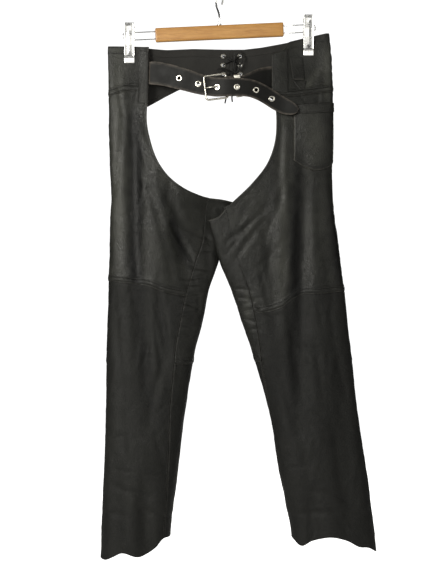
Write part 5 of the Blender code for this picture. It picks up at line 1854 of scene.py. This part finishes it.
class CHAPS_OT_stage(bpy.types.Operator):
    """Set the camera, the floor and the lights"""
    bl_idname = "chaps.stage"
    bl_label = "Stage"

    def execute(self, context):
        settings = context.scene.chaps_stage
        camera_data = bpy.data.cameras.new("camera")
        camera = placed("camera", camera_data)
        camera_data.sensor_width = 36
        camera_data.lens = camera_data.sensor_width * settings.distance / SEEN_HEIGHT
        camera.location = (-0.006, -settings.distance - 0.015, -0.599)
        camera.rotation_euler = (math.radians(90), 0, 0)
        context.scene.camera = camera
        context.scene.view_settings.view_transform = "Standard"
        self.floor(settings)
        self.light("key_light", settings.key, (0.7, 1.2), (-1.5, -2.2, 0.2))
        self.light("fill_light", settings.fill, (0.9, 1.3), (1.7, -1.9, 0.1))
        self.light("front_light", settings.front, (1.6, 1.1), (0.0, -3.3, 0.45))
        self.light("rear_light", settings.rear, (1.4, 1.4), (1.1, 2.4, 0.3))
        self.room(context, settings)
        return {"FINISHED"}

    def floor(self, settings):
        """A round pale floor under the hanging garment."""
        shape = bmesh.new()
        bmesh.ops.create_circle(shape, cap_ends=True, segments=96, radius=FLOOR_RADIUS)
        bmesh.ops.translate(shape, vec=(0, 0, FLOOR_Z), verts=shape.verts)
        floor = placed("floor", mesh_of("floor", shape))
        made, tree, shader, place = new_finish("pale_floor")
        cloud = add_node(tree, "ShaderNodeTexNoise", {"Vector": place, "Scale": 3.0, "Detail": 3.0})
        tone = np.array(settings.floor)
        colour = mix_colour(tree, cloud.outputs[0], tuple(tone * 0.99), tuple(tone))
        tree.links.new(colour, shader.inputs["Base Color"])
        shader.inputs["Roughness"].default_value = 0.9
        seen = add_node(tree, "ShaderNodeLightPath").outputs["Is Camera Ray"]
        glow = mix_colour(tree, seen, (0.0, 0.0, 0.0), (1.0, 1.0, 1.0))
        tree.links.new(glow, shader.inputs["Emission Color"])
        shader.inputs["Emission Strength"].default_value = 1.1
        floor.data.materials.append(made)

    def light(self, name, power, size, place):
        data = bpy.data.lights.new(name, "AREA")
        data.shape = "RECTANGLE"
        data.size, data.size_y = size
        data.energy = power
        data.color = (1.0, 0.985, 0.92)
        light = placed(name, data)
        light.location = place
        light.visible_camera = False
        aim = Vector((0, 0, -0.6)) - Vector(place)
        light.rotation_euler = aim.to_track_quat("-Z", "Z").to_euler()

    def room(self, context, settings):
        """Soft light from all round, with a white backdrop where the camera sees it."""
        world = bpy.data.worlds.new("room")
        world.use_nodes = True
        tree = world.node_tree
        seen = add_node(tree, "ShaderNodeLightPath").outputs["Is Camera Ray"]
        strength = ranged(tree, seen, 0.0, 1.0, settings.room, 1.15)
        shader = tree.nodes["Background"]
        shader.inputs["Color"].default_value = (1, 1, 1, 1)
        tree.links.new(strength, shader.inputs["Strength"])
        context.scene.world = world


class CHAPS_OT_lacing(bpy.types.Operator):
    """Lace the centre back with its thongs, knot, loops and two free ends"""
    bl_idname = "chaps.lacing"
    bl_label = "Lacing"

    def execute(self, context):
        for label, points in LACE_ENDS.items():
            route = spaced([(x, y, -drop) for x, y, drop in points], 36)
            end = tube(f"lace_free_end_{label}", route, LACE_WIRE, "thong", 14)
            finished(end, "black_leather", f"lace_end_{label}")
        for label, route in lace_routes().items():
            points = spaced(route, 220)
            swell = 1 + 0.05 * np.sin(np.arange(len(points)) * 0.9)
            made = tube(f"lace_thong_{label}", points, LACE_WIRE * 0.97, "thong", 14, swell=swell)
            finished(made, "black_leather", f"lace_{label}")
        for label, points in LACE_LOOPS.items():
            route = spaced([(x, y, -drop) for x, y, drop in points], 90)
            made = tube(f"lace_bow_{label}", route, LACE_WIRE, "thong", 14)
            finished(made, "black_leather", f"lace_loop_{label}")
        self.knot()
        return {"FINISHED"}

    def knot(self):
        """A tight knot: a thong that passes over and under itself three times."""
        low = LACE_ROWS[-1]
        y = lace_frame(0, low, LACE_CLEAR + 1)[1]
        centre = np.array([CENTRE_BACK, y, -low - 1])
        t = np.linspace(0, 2 * math.pi, 96, endpoint=False)
        route = np.stack([
            (np.sin(t) + 2 * np.sin(2 * t)) * 1.42,
            -np.sin(3 * t) * 1.7,
            (np.cos(t) - 2 * np.cos(2 * t)) * 1.22,
        ], axis=-1)
        parts = [tube_mesh(centre + route, 2.7, 14, closed=True)]
        a = np.linspace(0, 2 * math.pi, 40, endpoint=False)
        wrap = np.stack([0.5 * np.sin(a), 3.0 * np.cos(a), 3.3 * np.sin(a)], axis=-1)
        parts.append(tube_mesh(centre + wrap, 2.3, 12, closed=True))
        knot = joined_object("lace_tied_knot", parts, "thong")
        finished(knot, "black_leather", "lace_knot")


class CHAPS_OT_legs(bpy.types.Operator):
    """Cut and crease the four leather panels of each leg"""
    bl_idname = "chaps.legs"
    bl_label = "Legs"

    def execute(self, context):
        for side in FACING:
            self.leg(side)
        return {"FINISHED"}

    def leg(self, side):
        hem, knee = hem_line(side), knee_line(side)
        zero = np.zeros(1)
        outer_hem, outer_knee = float(hem(zero)[0]), float(knee(zero)[0])
        outer_yoke = float(x_line(side, YOKE_FRONT[side])(zero)[0])
        hem_end = float(hem(seam_angle(side, np.array([outer_hem])))[0])
        knee_end = float(knee(seam_angle(side, np.array([outer_knee])))[0])
        back_knee = KNEE_BACK[side]
        crotch = OPENING_FRONT[side][0].drop
        split = crotch - 12
        shin_ends = seam_rows(side, hem_end, back_knee, SHIN_ROWS)
        shin_starts = outer_rows(outer_hem, back_knee, SHIN_ROWS)
        calf_ends = seam_rows(side, back_knee, knee_end, CALF_ROWS)[1:]
        calf_starts = outer_rows(back_knee, outer_knee, CALF_ROWS)[1:]
        thigh_ends = seam_rows(side, knee_end, crotch, THIGH_ROWS)
        thigh_starts = outer_rows(outer_knee, split, THIGH_ROWS)

        rows = rows_between(
            np.concatenate([shin_starts, calf_starts]), np.concatenate([shin_ends, calf_ends]),
            FRONT_COLUMNS, hem, knee,
        )
        self.piece(f"shin_front_{side}", side, rows, borders("cut", "under"), 1.0)

        rows = rows_between(
            np.concatenate([thigh_starts, outer_rows(split, outer_yoke, EDGE_ROWS + 1)[1:]]),
            np.concatenate([thigh_ends, edge_rows(side, OPENING_FRONT[side], EDGE_ROWS)]),
            FRONT_COLUMNS, knee, x_line(side, YOKE_FRONT[side]),
        )
        opening = Rule("plain", "turned", lambda angle, drop: 1 - ease(crotch - 6, crotch + 1, drop))
        rules = borders("lap", "under", end=opening)
        self.piece(f"thigh_front_{side}", side, rows, rules, 0.0)

        around = np.column_stack([np.full(len(shin_starts), 2 * math.pi), shin_starts[:, 1]])
        rows = rows_between(shin_ends, around, BACK_COLUMNS, hem)
        self.piece(f"shin_back_{side}", side, rows, borders("cut", "under"), 1.0)

        seam = np.concatenate([shin_ends[-1:, 1], calf_ends[:, 1], thigh_ends[1:, 1]])
        rows = thigh_back_rows(side, seam)
        meet = rows[-1, INSIDE_COLUMNS + EDGE_COLUMNS, 0]
        yoke = Rule("turned", "under", lambda angle, drop: ease(meet - 0.012, meet + 0.012, angle))
        self.piece(f"thigh_back_{side}", side, rows, borders("lap", yoke), 0.25)

    def piece(self, name, side, rows, rules, worn):
        leather_piece(name, name, side, rows, rules, worn=worn)


class CHAPS_OT_yokes(bpy.types.Operator):
    """Make the two hip yokes, bored for the lacing at the centre back"""
    bl_idname = "chaps.yokes"
    bl_label = "Yokes"

    def execute(self, context):
        for side in FACING:
            rows = yoke_rows(side)
            meet = rows[0, FRONT_COLUMNS + HIP_COLUMNS - 2, 0]
            seat = Rule("lap", "turned", lambda angle, drop, m=meet: 1 - ease(m - 0.01, m + 0.01, angle))
            rules = borders(seat, "band", "turned", "turned")
            made = panel(f"leather_yoke_{side}", side, rows, rules, inner_sewing=True)
            x = CENTRE_BACK - LACE_HALF * FACING[side]
            holes = [(back_point(x, drop), back_normal(x, drop)) for drop in LACE_ROWS]
            bored(made, holes, LACE_EYELET[1] + GAP, 8)
            finished(made, "black_leather", f"hip_yoke_{side}")
            sheet_of(side, rows)
        return {"FINISHED"}


class CHAPS_OT_strips(bpy.types.Operator):
    """Lay the stitched strips on both front edges of the waist"""
    bl_idname = "chaps.strips"
    bl_label = "Front strips"

    def execute(self, context):
        for side, strip in STRIPS.items():
            top = strip.top_edge + (strip.top_inner - strip.top_edge) * PATCH_ACROSS
            bottom = strip.bottom_edge + (strip.bottom_inner - strip.bottom_edge) * PATCH_ACROSS
            leather_piece(
                f"strip_{side}", f"front_strip_{side}", side,
                patch_rows(side, strip.edge, strip.inner, bottom, top), borders("cut", "cut"),
                [f"hip_yoke_{side}"],
                lift=lambda u, v: LAID + WALL + 0.75 * np.sin(math.pi * np.clip(u, 0, 1)) ** 0.7,
            )
        return {"FINISHED"}


def pocket_place(u, v):
    middle = (POCKET_TOP[0].drop + POCKET_BOTTOM[0].drop) / 2 + 0 * u

    def angle_in(drop):
        left = angle_at("R", POCKET_LEFT, drop)
        return left + (POCKET_RIGHT_ANGLE - left) * u

    x = leg_point("R", angle_in(middle), middle)[..., 0]
    top = straight(POCKET_TOP, "x", "drop", x)
    bottom = straight(POCKET_BOTTOM, "x", "drop", x)
    drop = bottom + (top - bottom) * v
    return np.stack([angle_in(drop), drop, u, v], axis=-1)


def pocket_swell(u, v):
    sides = np.sin(math.pi * np.clip(u, 0, 1)) ** 0.6
    height = np.sin(math.pi * np.clip(v / 1.35, 0, 1)) ** 0.5
    dents = 1 - 0.10 * np.exp(-(((u - 0.38) / 0.12) ** 2 + ((v - 0.5) / 0.3) ** 2))
    dents = dents - 0.08 * np.exp(-(((u - 0.7) / 0.1) ** 2 + ((v - 0.36) / 0.22) ** 2))
    return POCKET_FULLNESS * sides * height * dents


class CHAPS_OT_pocket(bpy.types.Operator):
    """Lay the patch pocket and its hem band on the right thigh"""
    bl_idname = "chaps.pocket"
    bl_label = "Pocket"

    def execute(self, context):
        u, v = np.meshgrid(np.linspace(0, 1, 61), np.linspace(0, 1, 61))
        leather_piece(
            "pocket", "pocket_R", "R", pocket_place(u, v),
            borders("turned", "turned", "turned", "turned"), ["thigh_front_R"],
            lift=lambda a, b: LAID + WALL + pocket_swell(a, b),
        )
        u, v = np.meshgrid(np.linspace(0, 1, 61), np.linspace(1 - POCKET_HEM, 1, 15))
        leather_piece(
            "pocket_hem", "pocket_hem_R", "R", pocket_place(u, v),
            borders("plain", "plain", "cut", "cut"), ["pocket_R"],
            lift=lambda a, b: LAID + 2 * WALL + 2 * GAP + 0.35 + pocket_swell(a, b),
        )
        return {"FINISHED"}


class CHAPS_OT_tab(bpy.types.Operator):
    """Hang the folded tab on the right hip, with the pointed piece below it"""
    bl_idname = "chaps.tab"
    bl_label = "Hip tab"

    def execute(self, context):
        leather_piece(
            "tab", "hip_tab_R", "R",
            patch_rows("R", *self.edges(TAB_EDGES, PATCH_UP), TAB_BOTTOM, TAB_TOP),
            borders("turned", "cut"), ["hip_yoke_R"],
            lift=lambda u, v: TAB_OFF + WALL + 0.9 * np.sin(math.pi * np.clip(u, 0, 1)) ** 0.8,
        )
        leather_piece(
            "tab_point", "hip_tab_point_R", "R",
            patch_rows("R", *self.edges(TIP_EDGES, PATCH_UP ** TIP_BULGE), TIP_BOTTOM, TIP_TOP),
            borders("cut", "cut"), ["hip_yoke_R"],
            lift=lambda u, v: LAID + WALL + 0 * u,
        )
        return {"FINISHED"}

    def edges(self, ends, t):
        """The right and the left edge, a share t of the way up."""
        (top_left, top_right), (low_left, low_right) = ends
        return low_right + (top_right - low_right) * t, low_left + (top_left - low_left) * t


class CHAPS_OT_belt(bpy.types.Operator):
    """Make the belt strap and the strap folded round the buckle's heel bar"""
    bl_idname = "chaps.belt"
    bl_label = "Belt"

    def execute(self, context):
        route, widths = strap_route(BELT, 150)
        noise = lattice_noise(route[:, [0, 2, 1]], (26, 26, 26), 61)

        def wave(i, across):
            return 0.28 * noise[i] * (across / 18) + 0.14 * np.sin(i * 0.21 + across * 0.11)

        points, faces, edge = strap_mesh(route, widths, STRAP, wave=wave)
        belt = mesh_object("leather_belt", points, faces, ["belt"], marks_by_name={"edge": edge})
        tidy_normals(belt)
        bored(belt, [belt_frame(x) for x in BELT_HOLES], BELT_EYELET[1] + GAP, 12)
        finished(belt, "belt_leather", "belt_strap")
        self.sew_strap(belt.name, route, widths)
        self.buckle_strap()
        return {"FINISHED"}

    def sew_strap(self, name, route, widths):
        """Edge stitching on the strap's front face."""
        way = np.gradient(route, axis=0)
        face = unit(np.cross((0, 0, 1), way))
        up = unit(np.cross(way, face))
        front = face * np.where(face[:, 1:2] < 0, 1, -1)
        up = up * np.where(up[:, 2:3] > 0, 1, -1)
        for share in (1, -1):
            inset = share * (widths[:, None] / 2 - STRAP_MARGIN)
            line = route + front * (STRAP / 2 + 0.25) + up * inset
            keep = (widths > 9) & (np.arange(len(route)) > 3)
            sewn_line(name, line, keep)

    def buckle_strap(self):
        route, widths = strap_route(BUCKLE_STRAP_ROUTE, 60)
        radius = BUCKLE_WIRE / 2 + GAP + BUCKLE_STRAP / 2
        width = BUCKLE_STRAP_ROUTE[-1].width
        slope = math.tan(BUCKLE_TILT)
        heel_drop = BUCKLE_DROP - (HEEL_BAR_X - FRONT_BAR_X) / 2 * math.sin(BUCKLE_TILT)

        def on_buckle(x, y):
            return (x, y, -heel_drop + (x - HEEL_BAR_X) * slope)

        turn = [
            on_buckle(HEEL_BAR_X - radius * math.sin(a), BUCKLE_Y + radius * math.cos(a))
            for a in np.linspace(0, math.pi, 19)
        ]
        front = BUCKLE_Y - radius
        offsets = ((20, 0.2), (25, 1.8), (30, 3.9), (37, 4.5), (44, 4.7))
        back = spaced([turn[-1]] + [on_buckle(x, front + off) for x, off in offsets], 24)[1:]
        route = np.concatenate([route, turn, back])
        widths = np.concatenate([widths, np.full(len(turn) + len(back), width)])
        points, faces, edge = strap_mesh(route, widths, BUCKLE_STRAP, BUCKLE_TILT)
        strap = mesh_object(
            "leather_buckle_strap", points, faces, ["belt"], marks_by_name={"edge": edge}
        )
        tidy_normals(strap)
        shape = bmesh.new()
        bmesh.ops.create_cube(shape, size=1)
        bmesh.ops.scale(shape, vec=Vector((13, 13, PRONG_SLOT)) * MM, verts=shape.verts)
        centre = Vector((HEEL_BAR_X - 0.5, BUCKLE_Y, -heel_drop)) * MM
        bmesh.ops.translate(shape, vec=centre, verts=shape.verts)
        cut_by(strap, shape)
        finished(strap, "belt_leather", "buckle_strap")


class CHAPS_OT_buckle(bpy.types.Operator):
    """Bend the buckle's frame and prong and form the keeper"""
    bl_idname = "chaps.buckle"
    bl_label = "Buckle"

    def execute(self, context):
        sides = context.scene.chaps_belt.wire_sides
        half_x, half_z = (HEEL_BAR_X - FRONT_BAR_X) / 2, BUCKLE_HEIGHT / 2
        middle = np.array([(HEEL_BAR_X + FRONT_BAR_X) / 2, BUCKLE_Y, -BUCKLE_DROP])
        turn = np.array(Matrix.Rotation(-BUCKLE_TILT, 3, "Y"))
        ring = rounded_ring(half_x, half_z, BUCKLE_CORNER, 12)
        points = [middle + turn @ np.array([x, 0, z]) for x, z in ring]
        frame_wire = tube("buckle_wire", points, BUCKLE_WIRE, "nickel", sides, closed=True)
        finished(frame_wire, "nickel", "buckle_frame")
        radius = BUCKLE_WIRE / 2 + GAP + PRONG_WIRE / 2
        heel = -BUCKLE_DROP + half_x * math.sin(BUCKLE_TILT)
        loop = [
            (HEEL_BAR_X - radius * math.cos(a), BUCKLE_Y + radius * math.sin(a), heel)
            for a in np.linspace(0.15, math.radians(262), 30)
        ]
        arm = [(x, y, heel + rise) for x, rise, y in PRONG_ROUTE]
        route = np.array(loop + list(spaced([loop[-1]] + arm, 60)[1:]))
        taper = np.interp(np.arange(len(route)), (0, 60, len(route) - 1), (1, 1, 0.78))
        prong = tube("buckle_tongue", route, PRONG_WIRE, "nickel", sides, swell=taper)
        finished(prong, "nickel", "buckle_prong")
        self.keeper()
        return {"FINISHED"}

    def keeper(self):
        """A sheet-metal loop with rounded corners and eased edges."""
        half_z, half_y = KEEPER_HEIGHT / 2, KEEPER_DEPTH / 2
        ring = rounded_ring(half_z, half_y, KEEPER_CORNER, 8)
        way = np.roll(ring, -1, axis=0) - np.roll(ring, 1, axis=0)
        out = unit(np.column_stack([way[:, 1], -way[:, 0]]))
        outline = rounded_outline(KEEPER_WIDTH, KEEPER_WALL, 0.45, across=3, crown=0.15)
        turn = np.array(Matrix.Rotation(-BUCKLE_TILT, 3, "Y"))
        centre = np.array([KEEPER_X, KEEPER_Y, -KEEPER_DROP])
        grid = np.empty((len(ring), len(outline), 3))
        for i, (z, y) in enumerate(ring):
            grid[i, :, 0] = outline[:, 0]
            grid[i, :, 1] = y + out[i, 1] * outline[:, 1]
            grid[i, :, 2] = z + out[i, 0] * outline[:, 1]
        grid = grid @ turn.T + centre
        faces = ring_faces(len(ring), len(outline), closed=True)
        made = mesh_object("belt_keeper_loop", grid.reshape(-1, 3), faces.tolist(), ["nickel"])
        tidy_normals(made)
        finished(made, "nickel", "belt_keeper")


class CHAPS_OT_eyelets(bpy.types.Operator):
    """Set the eyelets of the belt and of the lacing"""
    bl_idname = "chaps.eyelets"
    bl_label = "Eyelets"

    def execute(self, context):
        places = [belt_frame(x) for x in BELT_HOLES]
        made = eyelets("belt_eyelets", places, BELT_EYELET, STRAP / 2 + GAP, 28, "nickel")
        finished(made, "nickel", *[f"belt_eyelet_{n}" for n in range(1, len(BELT_HOLES) + 1)])
        places, nodes = [], []
        for row, drop in enumerate(LACE_ROWS, 1):
            for label, column in (("L", -1), ("R", 1)):
                x = CENTRE_BACK + column * LACE_HALF
                way = back_normal(x, drop)
                places.append((back_point(x, drop) - way * WALL / 2, way))
                nodes.append(f"lace_eyelet_{label}{row}")
        made = eyelets("lacing_eyelets", places, LACE_EYELET, WALL / 2 + GAP + 0.1, 24, "aged")
        finished(made, "nickel", *nodes)
        return {"FINISHED"}


class CHAPS_OT_stitches(bpy.types.Operator):
    """Sew every seam, hem and edge of the pieces made so far"""
    bl_idname = "chaps.stitches"
    bl_label = "Stitches"

    def execute(self, context):
        if not SEWN:
            raise RuntimeError("make the leather pieces before their stitches")
        for name, lines in SEWN.items():
            made = sewing("stitches_" + name.removeprefix("leather_"), lines)
            slot = "belt_leather" if "belt" in name else "black_leather"
            finished(made, slot)
        return {"FINISHED"}


class CHAPS_OT_hanger(bpy.types.Operator):
    """Make the wooden bar, its wire bows, the two clips and the hook"""
    bl_idname = "chaps.hanger"
    bl_label = "Hanger"

    def execute(self, context):
        self.bar()
        for side in FACING:
            self.bow(side)
            self.clip(side, context.scene.chaps_hanger.turns)
        self.hook()
        return {"FINISHED"}

    def bar(self):
        shape = bmesh.new()
        bmesh.ops.create_cube(shape, size=1)
        size = Vector((BAR_LENGTH, BAR_DEPTH, BAR_HEIGHT)) * MM
        bmesh.ops.scale(shape, vec=size, verts=shape.verts)
        bmesh.ops.bevel(
            shape, geom=list(shape.edges), offset=2.8 * MM, segments=5, profile=0.5, affect="EDGES"
        )
        centre = Matrix.Translation(Vector(on_bar(0, 0)) * MM)
        tilt = Matrix.Rotation(-BAR_TILT, 4, "Y")
        bmesh.ops.transform(shape, matrix=centre @ tilt, verts=shape.verts)
        data = mesh_of("wooden_bar", shape)
        data.materials.append(finish_of("wood"))
        data.shade_smooth()
        finished(placed("wooden_bar", data), "varnished_wood", "hanger_bar")

    def bow(self, side):
        way = -1 if side == "L" else 1
        start = BAR_LENGTH / 2 + GAP
        end = abs(CLIPS[side].x) + BOW_REACH - BOW_HALF
        turn = [
            on_bar(way * (end + BOW_HALF * math.sin(a)), BOW_HALF * math.cos(a))
            for a in np.linspace(0, math.pi, 30)
        ]
        points = [on_bar(way * start, BOW_HALF), *turn, on_bar(way * start, -BOW_HALF)]
        parts = [tube_mesh(points, BOW_WIRE, 16)]
        for rise in (BOW_HALF, -BOW_HALF):
            collar = [on_bar(way * (start + 0.1), rise), on_bar(way * (start + 2.2), rise)]
            parts.append(tube_mesh(evenly(collar, 6), BOW_WIRE * 1.75, 20))
        made = joined_object(f"wire_bow_{side}", parts, "chrome")
        finished(made, "chrome", f"hanger_wire_{side}")

    def clip(self, side, turns):
        clip = CLIPS[side]
        axis = -on_bar(clip.x, 0)[2]
        jaw = PINCH_HALF + GAP
        profile = np.array([
            (-clip.top, BARREL_RADIUS + 3.2), (-clip.top - 6, BARREL_RADIUS + 2.4),
            (-axis, BARREL_RADIUS + GAP), (-axis - 18, BARREL_RADIUS - 0.6),
            (-clip.bottom + 13, jaw + 0.9), (-clip.bottom + 11, jaw), (-clip.bottom, jaw),
        ])
        fine = evenly(np.column_stack([profile, np.zeros(len(profile))]), 64)[:, :2]
        across = np.linspace(-1, 1, 25)
        along = np.linspace(0, 1, len(fine))
        rib = 0.7 * np.exp(-((across / 0.34) ** 2))
        lip = 0.9 * ease(0.8, 1.0, np.abs(across))
        ribbed = ease(0.08, 0.2, along) * (1 - ease(0.72, 0.84, along))
        lipped = 1 - ease(0.8, 0.88, along)
        width = CLIP_WIDTH / 2 * (1 - 0.10 * (1 - ease(0.0, 0.06, along)))
        rise = ribbed[:, None] * rib + lipped[:, None] * lip
        for name, face in (("front", -1), ("back", 1)):
            inner = np.stack([
                clip.x + across[None, :] * width[:, None],
                face * (fine[:, 1:2] + rise),
                fine[:, :1] + 0 * across[None, :],
            ], axis=-1)
            outer = inner + np.array([0, face * CLIP_SHEET, 0])
            outward = np.zeros(inner.shape)
            outward[..., 1] = face
            zero = np.zeros(inner.shape[:2])
            made = shell(f"clip_plate_{name}_{side}", outer, inner, outward, ("chrome", "chrome"),
                         {"edge": zero})
            finished(made, "chrome", f"clip_{name}_{side}")
        a = np.linspace(0, 2 * math.pi * turns, 26 * turns)
        reach = CLIP_WIDTH / 2 - 2 - COIL_WIRE / 2
        radius = BARREL_RADIUS - COIL_WIRE / 2 - 0.05
        way = np.array([math.cos(BAR_TILT), 0, math.sin(BAR_TILT)])
        up = np.array([-math.sin(BAR_TILT), 0, math.cos(BAR_TILT)])
        centre = np.array([clip.x, 0, -axis])
        coil = (
            centre + way * np.linspace(-reach, reach, len(a))[:, None]
            + up * (radius * np.cos(a))[:, None] + np.array([0, 1, 0]) * (radius * np.sin(a))[:, None]
        )
        rod = evenly([centre - way * (reach + 0.7), centre + way * (reach + 0.7)], 12)
        parts = [tube_mesh(coil, COIL_WIRE, 10), tube_mesh(rod, ROD_WIRE, 16)]
        spring = joined_object(f"clip_coil_{side}", parts, "chrome")
        finished(spring, "chrome", f"clip_spring_{side}")

    def hook(self):
        centre = HOOK_WIRE / 2 - HOOK_RADIUS
        bottom = -BAR_DROP + BAR_HEIGHT / 2 + GAP
        turn = [
            (HOOK_RADIUS * math.cos(a), centre + HOOK_RADIUS * math.sin(a))
            for a in np.linspace(math.radians(225), math.radians(-42), 60)
        ]
        stem = [(0, bottom), (0, -62), (0, -54), (-2.4, -47), (-8, -39.5)]
        flat = np.array(list(spaced(stem + turn[:1], 30)[:-1]) + turn)
        points = np.column_stack([
            flat[:, 0] * math.cos(HOOK_TURN), flat[:, 0] * math.sin(HOOK_TURN), flat[:, 1]
        ])
        parts = [tube_mesh(points, HOOK_WIRE, 20)]
        collar = [(0, 0), (5.2, 0), (5.2, 0.9), (4.2, 1.3), (3.4, 2.6), (0, 2.6)]
        some, faces = lathe_mesh([(max(r, 0.4), z) for r, z in collar], 28)
        parts.append((some + np.array([0, 0, bottom - 0.1]), faces))
        made = joined_object("hook_wire", parts, "chrome")
        made.data.set_sharp_from_angle(angle=math.radians(50))
        finished(made, "chrome", "hanger_hook")


class CHAPS_PT_panel(bpy.types.Panel):
    """Settings and pieces of the chaps"""
    bl_idname = "CHAPS_PT_panel"
    bl_label = "Chaps"
    bl_space_type = "VIEW_3D"
    bl_region_type = "UI"
    bl_category = "Chaps"

    def draw(self, context):
        for label, group in (
            ("Leather", context.scene.chaps_leather), ("Belt", context.scene.chaps_belt),
            ("Hanger", context.scene.chaps_hanger), ("Stage", context.scene.chaps_stage),
        ):
            box = self.layout.box()
            box.label(text=label)
            for key in group.__annotations__:
                box.prop(group, key)
        for operator in OPERATORS:
            self.layout.operator(operator.bl_idname)


OPERATORS = (
    CHAPS_OT_stage, CHAPS_OT_lacing, CHAPS_OT_legs, CHAPS_OT_yokes, CHAPS_OT_strips,
    CHAPS_OT_pocket, CHAPS_OT_tab, CHAPS_OT_belt, CHAPS_OT_buckle, CHAPS_OT_eyelets,
    CHAPS_OT_stitches, CHAPS_OT_hanger,
)
GROUPS = {
    "chaps_leather": LeatherSettings, "chaps_belt": BeltSettings,
    "chaps_hanger": HangerSettings, "chaps_stage": StageSettings,
}


def register():
    for group in GROUPS.values():
        bpy.utils.register_class(group)
    for name, group in GROUPS.items():
        setattr(bpy.types.Scene, name, bpy.props.PointerProperty(type=group))
    for cls in (*OPERATORS, CHAPS_PT_panel):
        bpy.utils.register_class(cls)


def unregister():
    for cls in (CHAPS_PT_panel, *reversed(OPERATORS)):
        bpy.utils.unregister_class(cls)
    for name in GROUPS:
        delattr(bpy.types.Scene, name)
    for group in GROUPS.values():
        bpy.utils.unregister_class(group)


def main():
    register()
    for operator in OPERATORS:
        getattr(bpy.ops.chaps, operator.bl_idname.split(".")[1])()


if __name__ == "__main__":
    main()
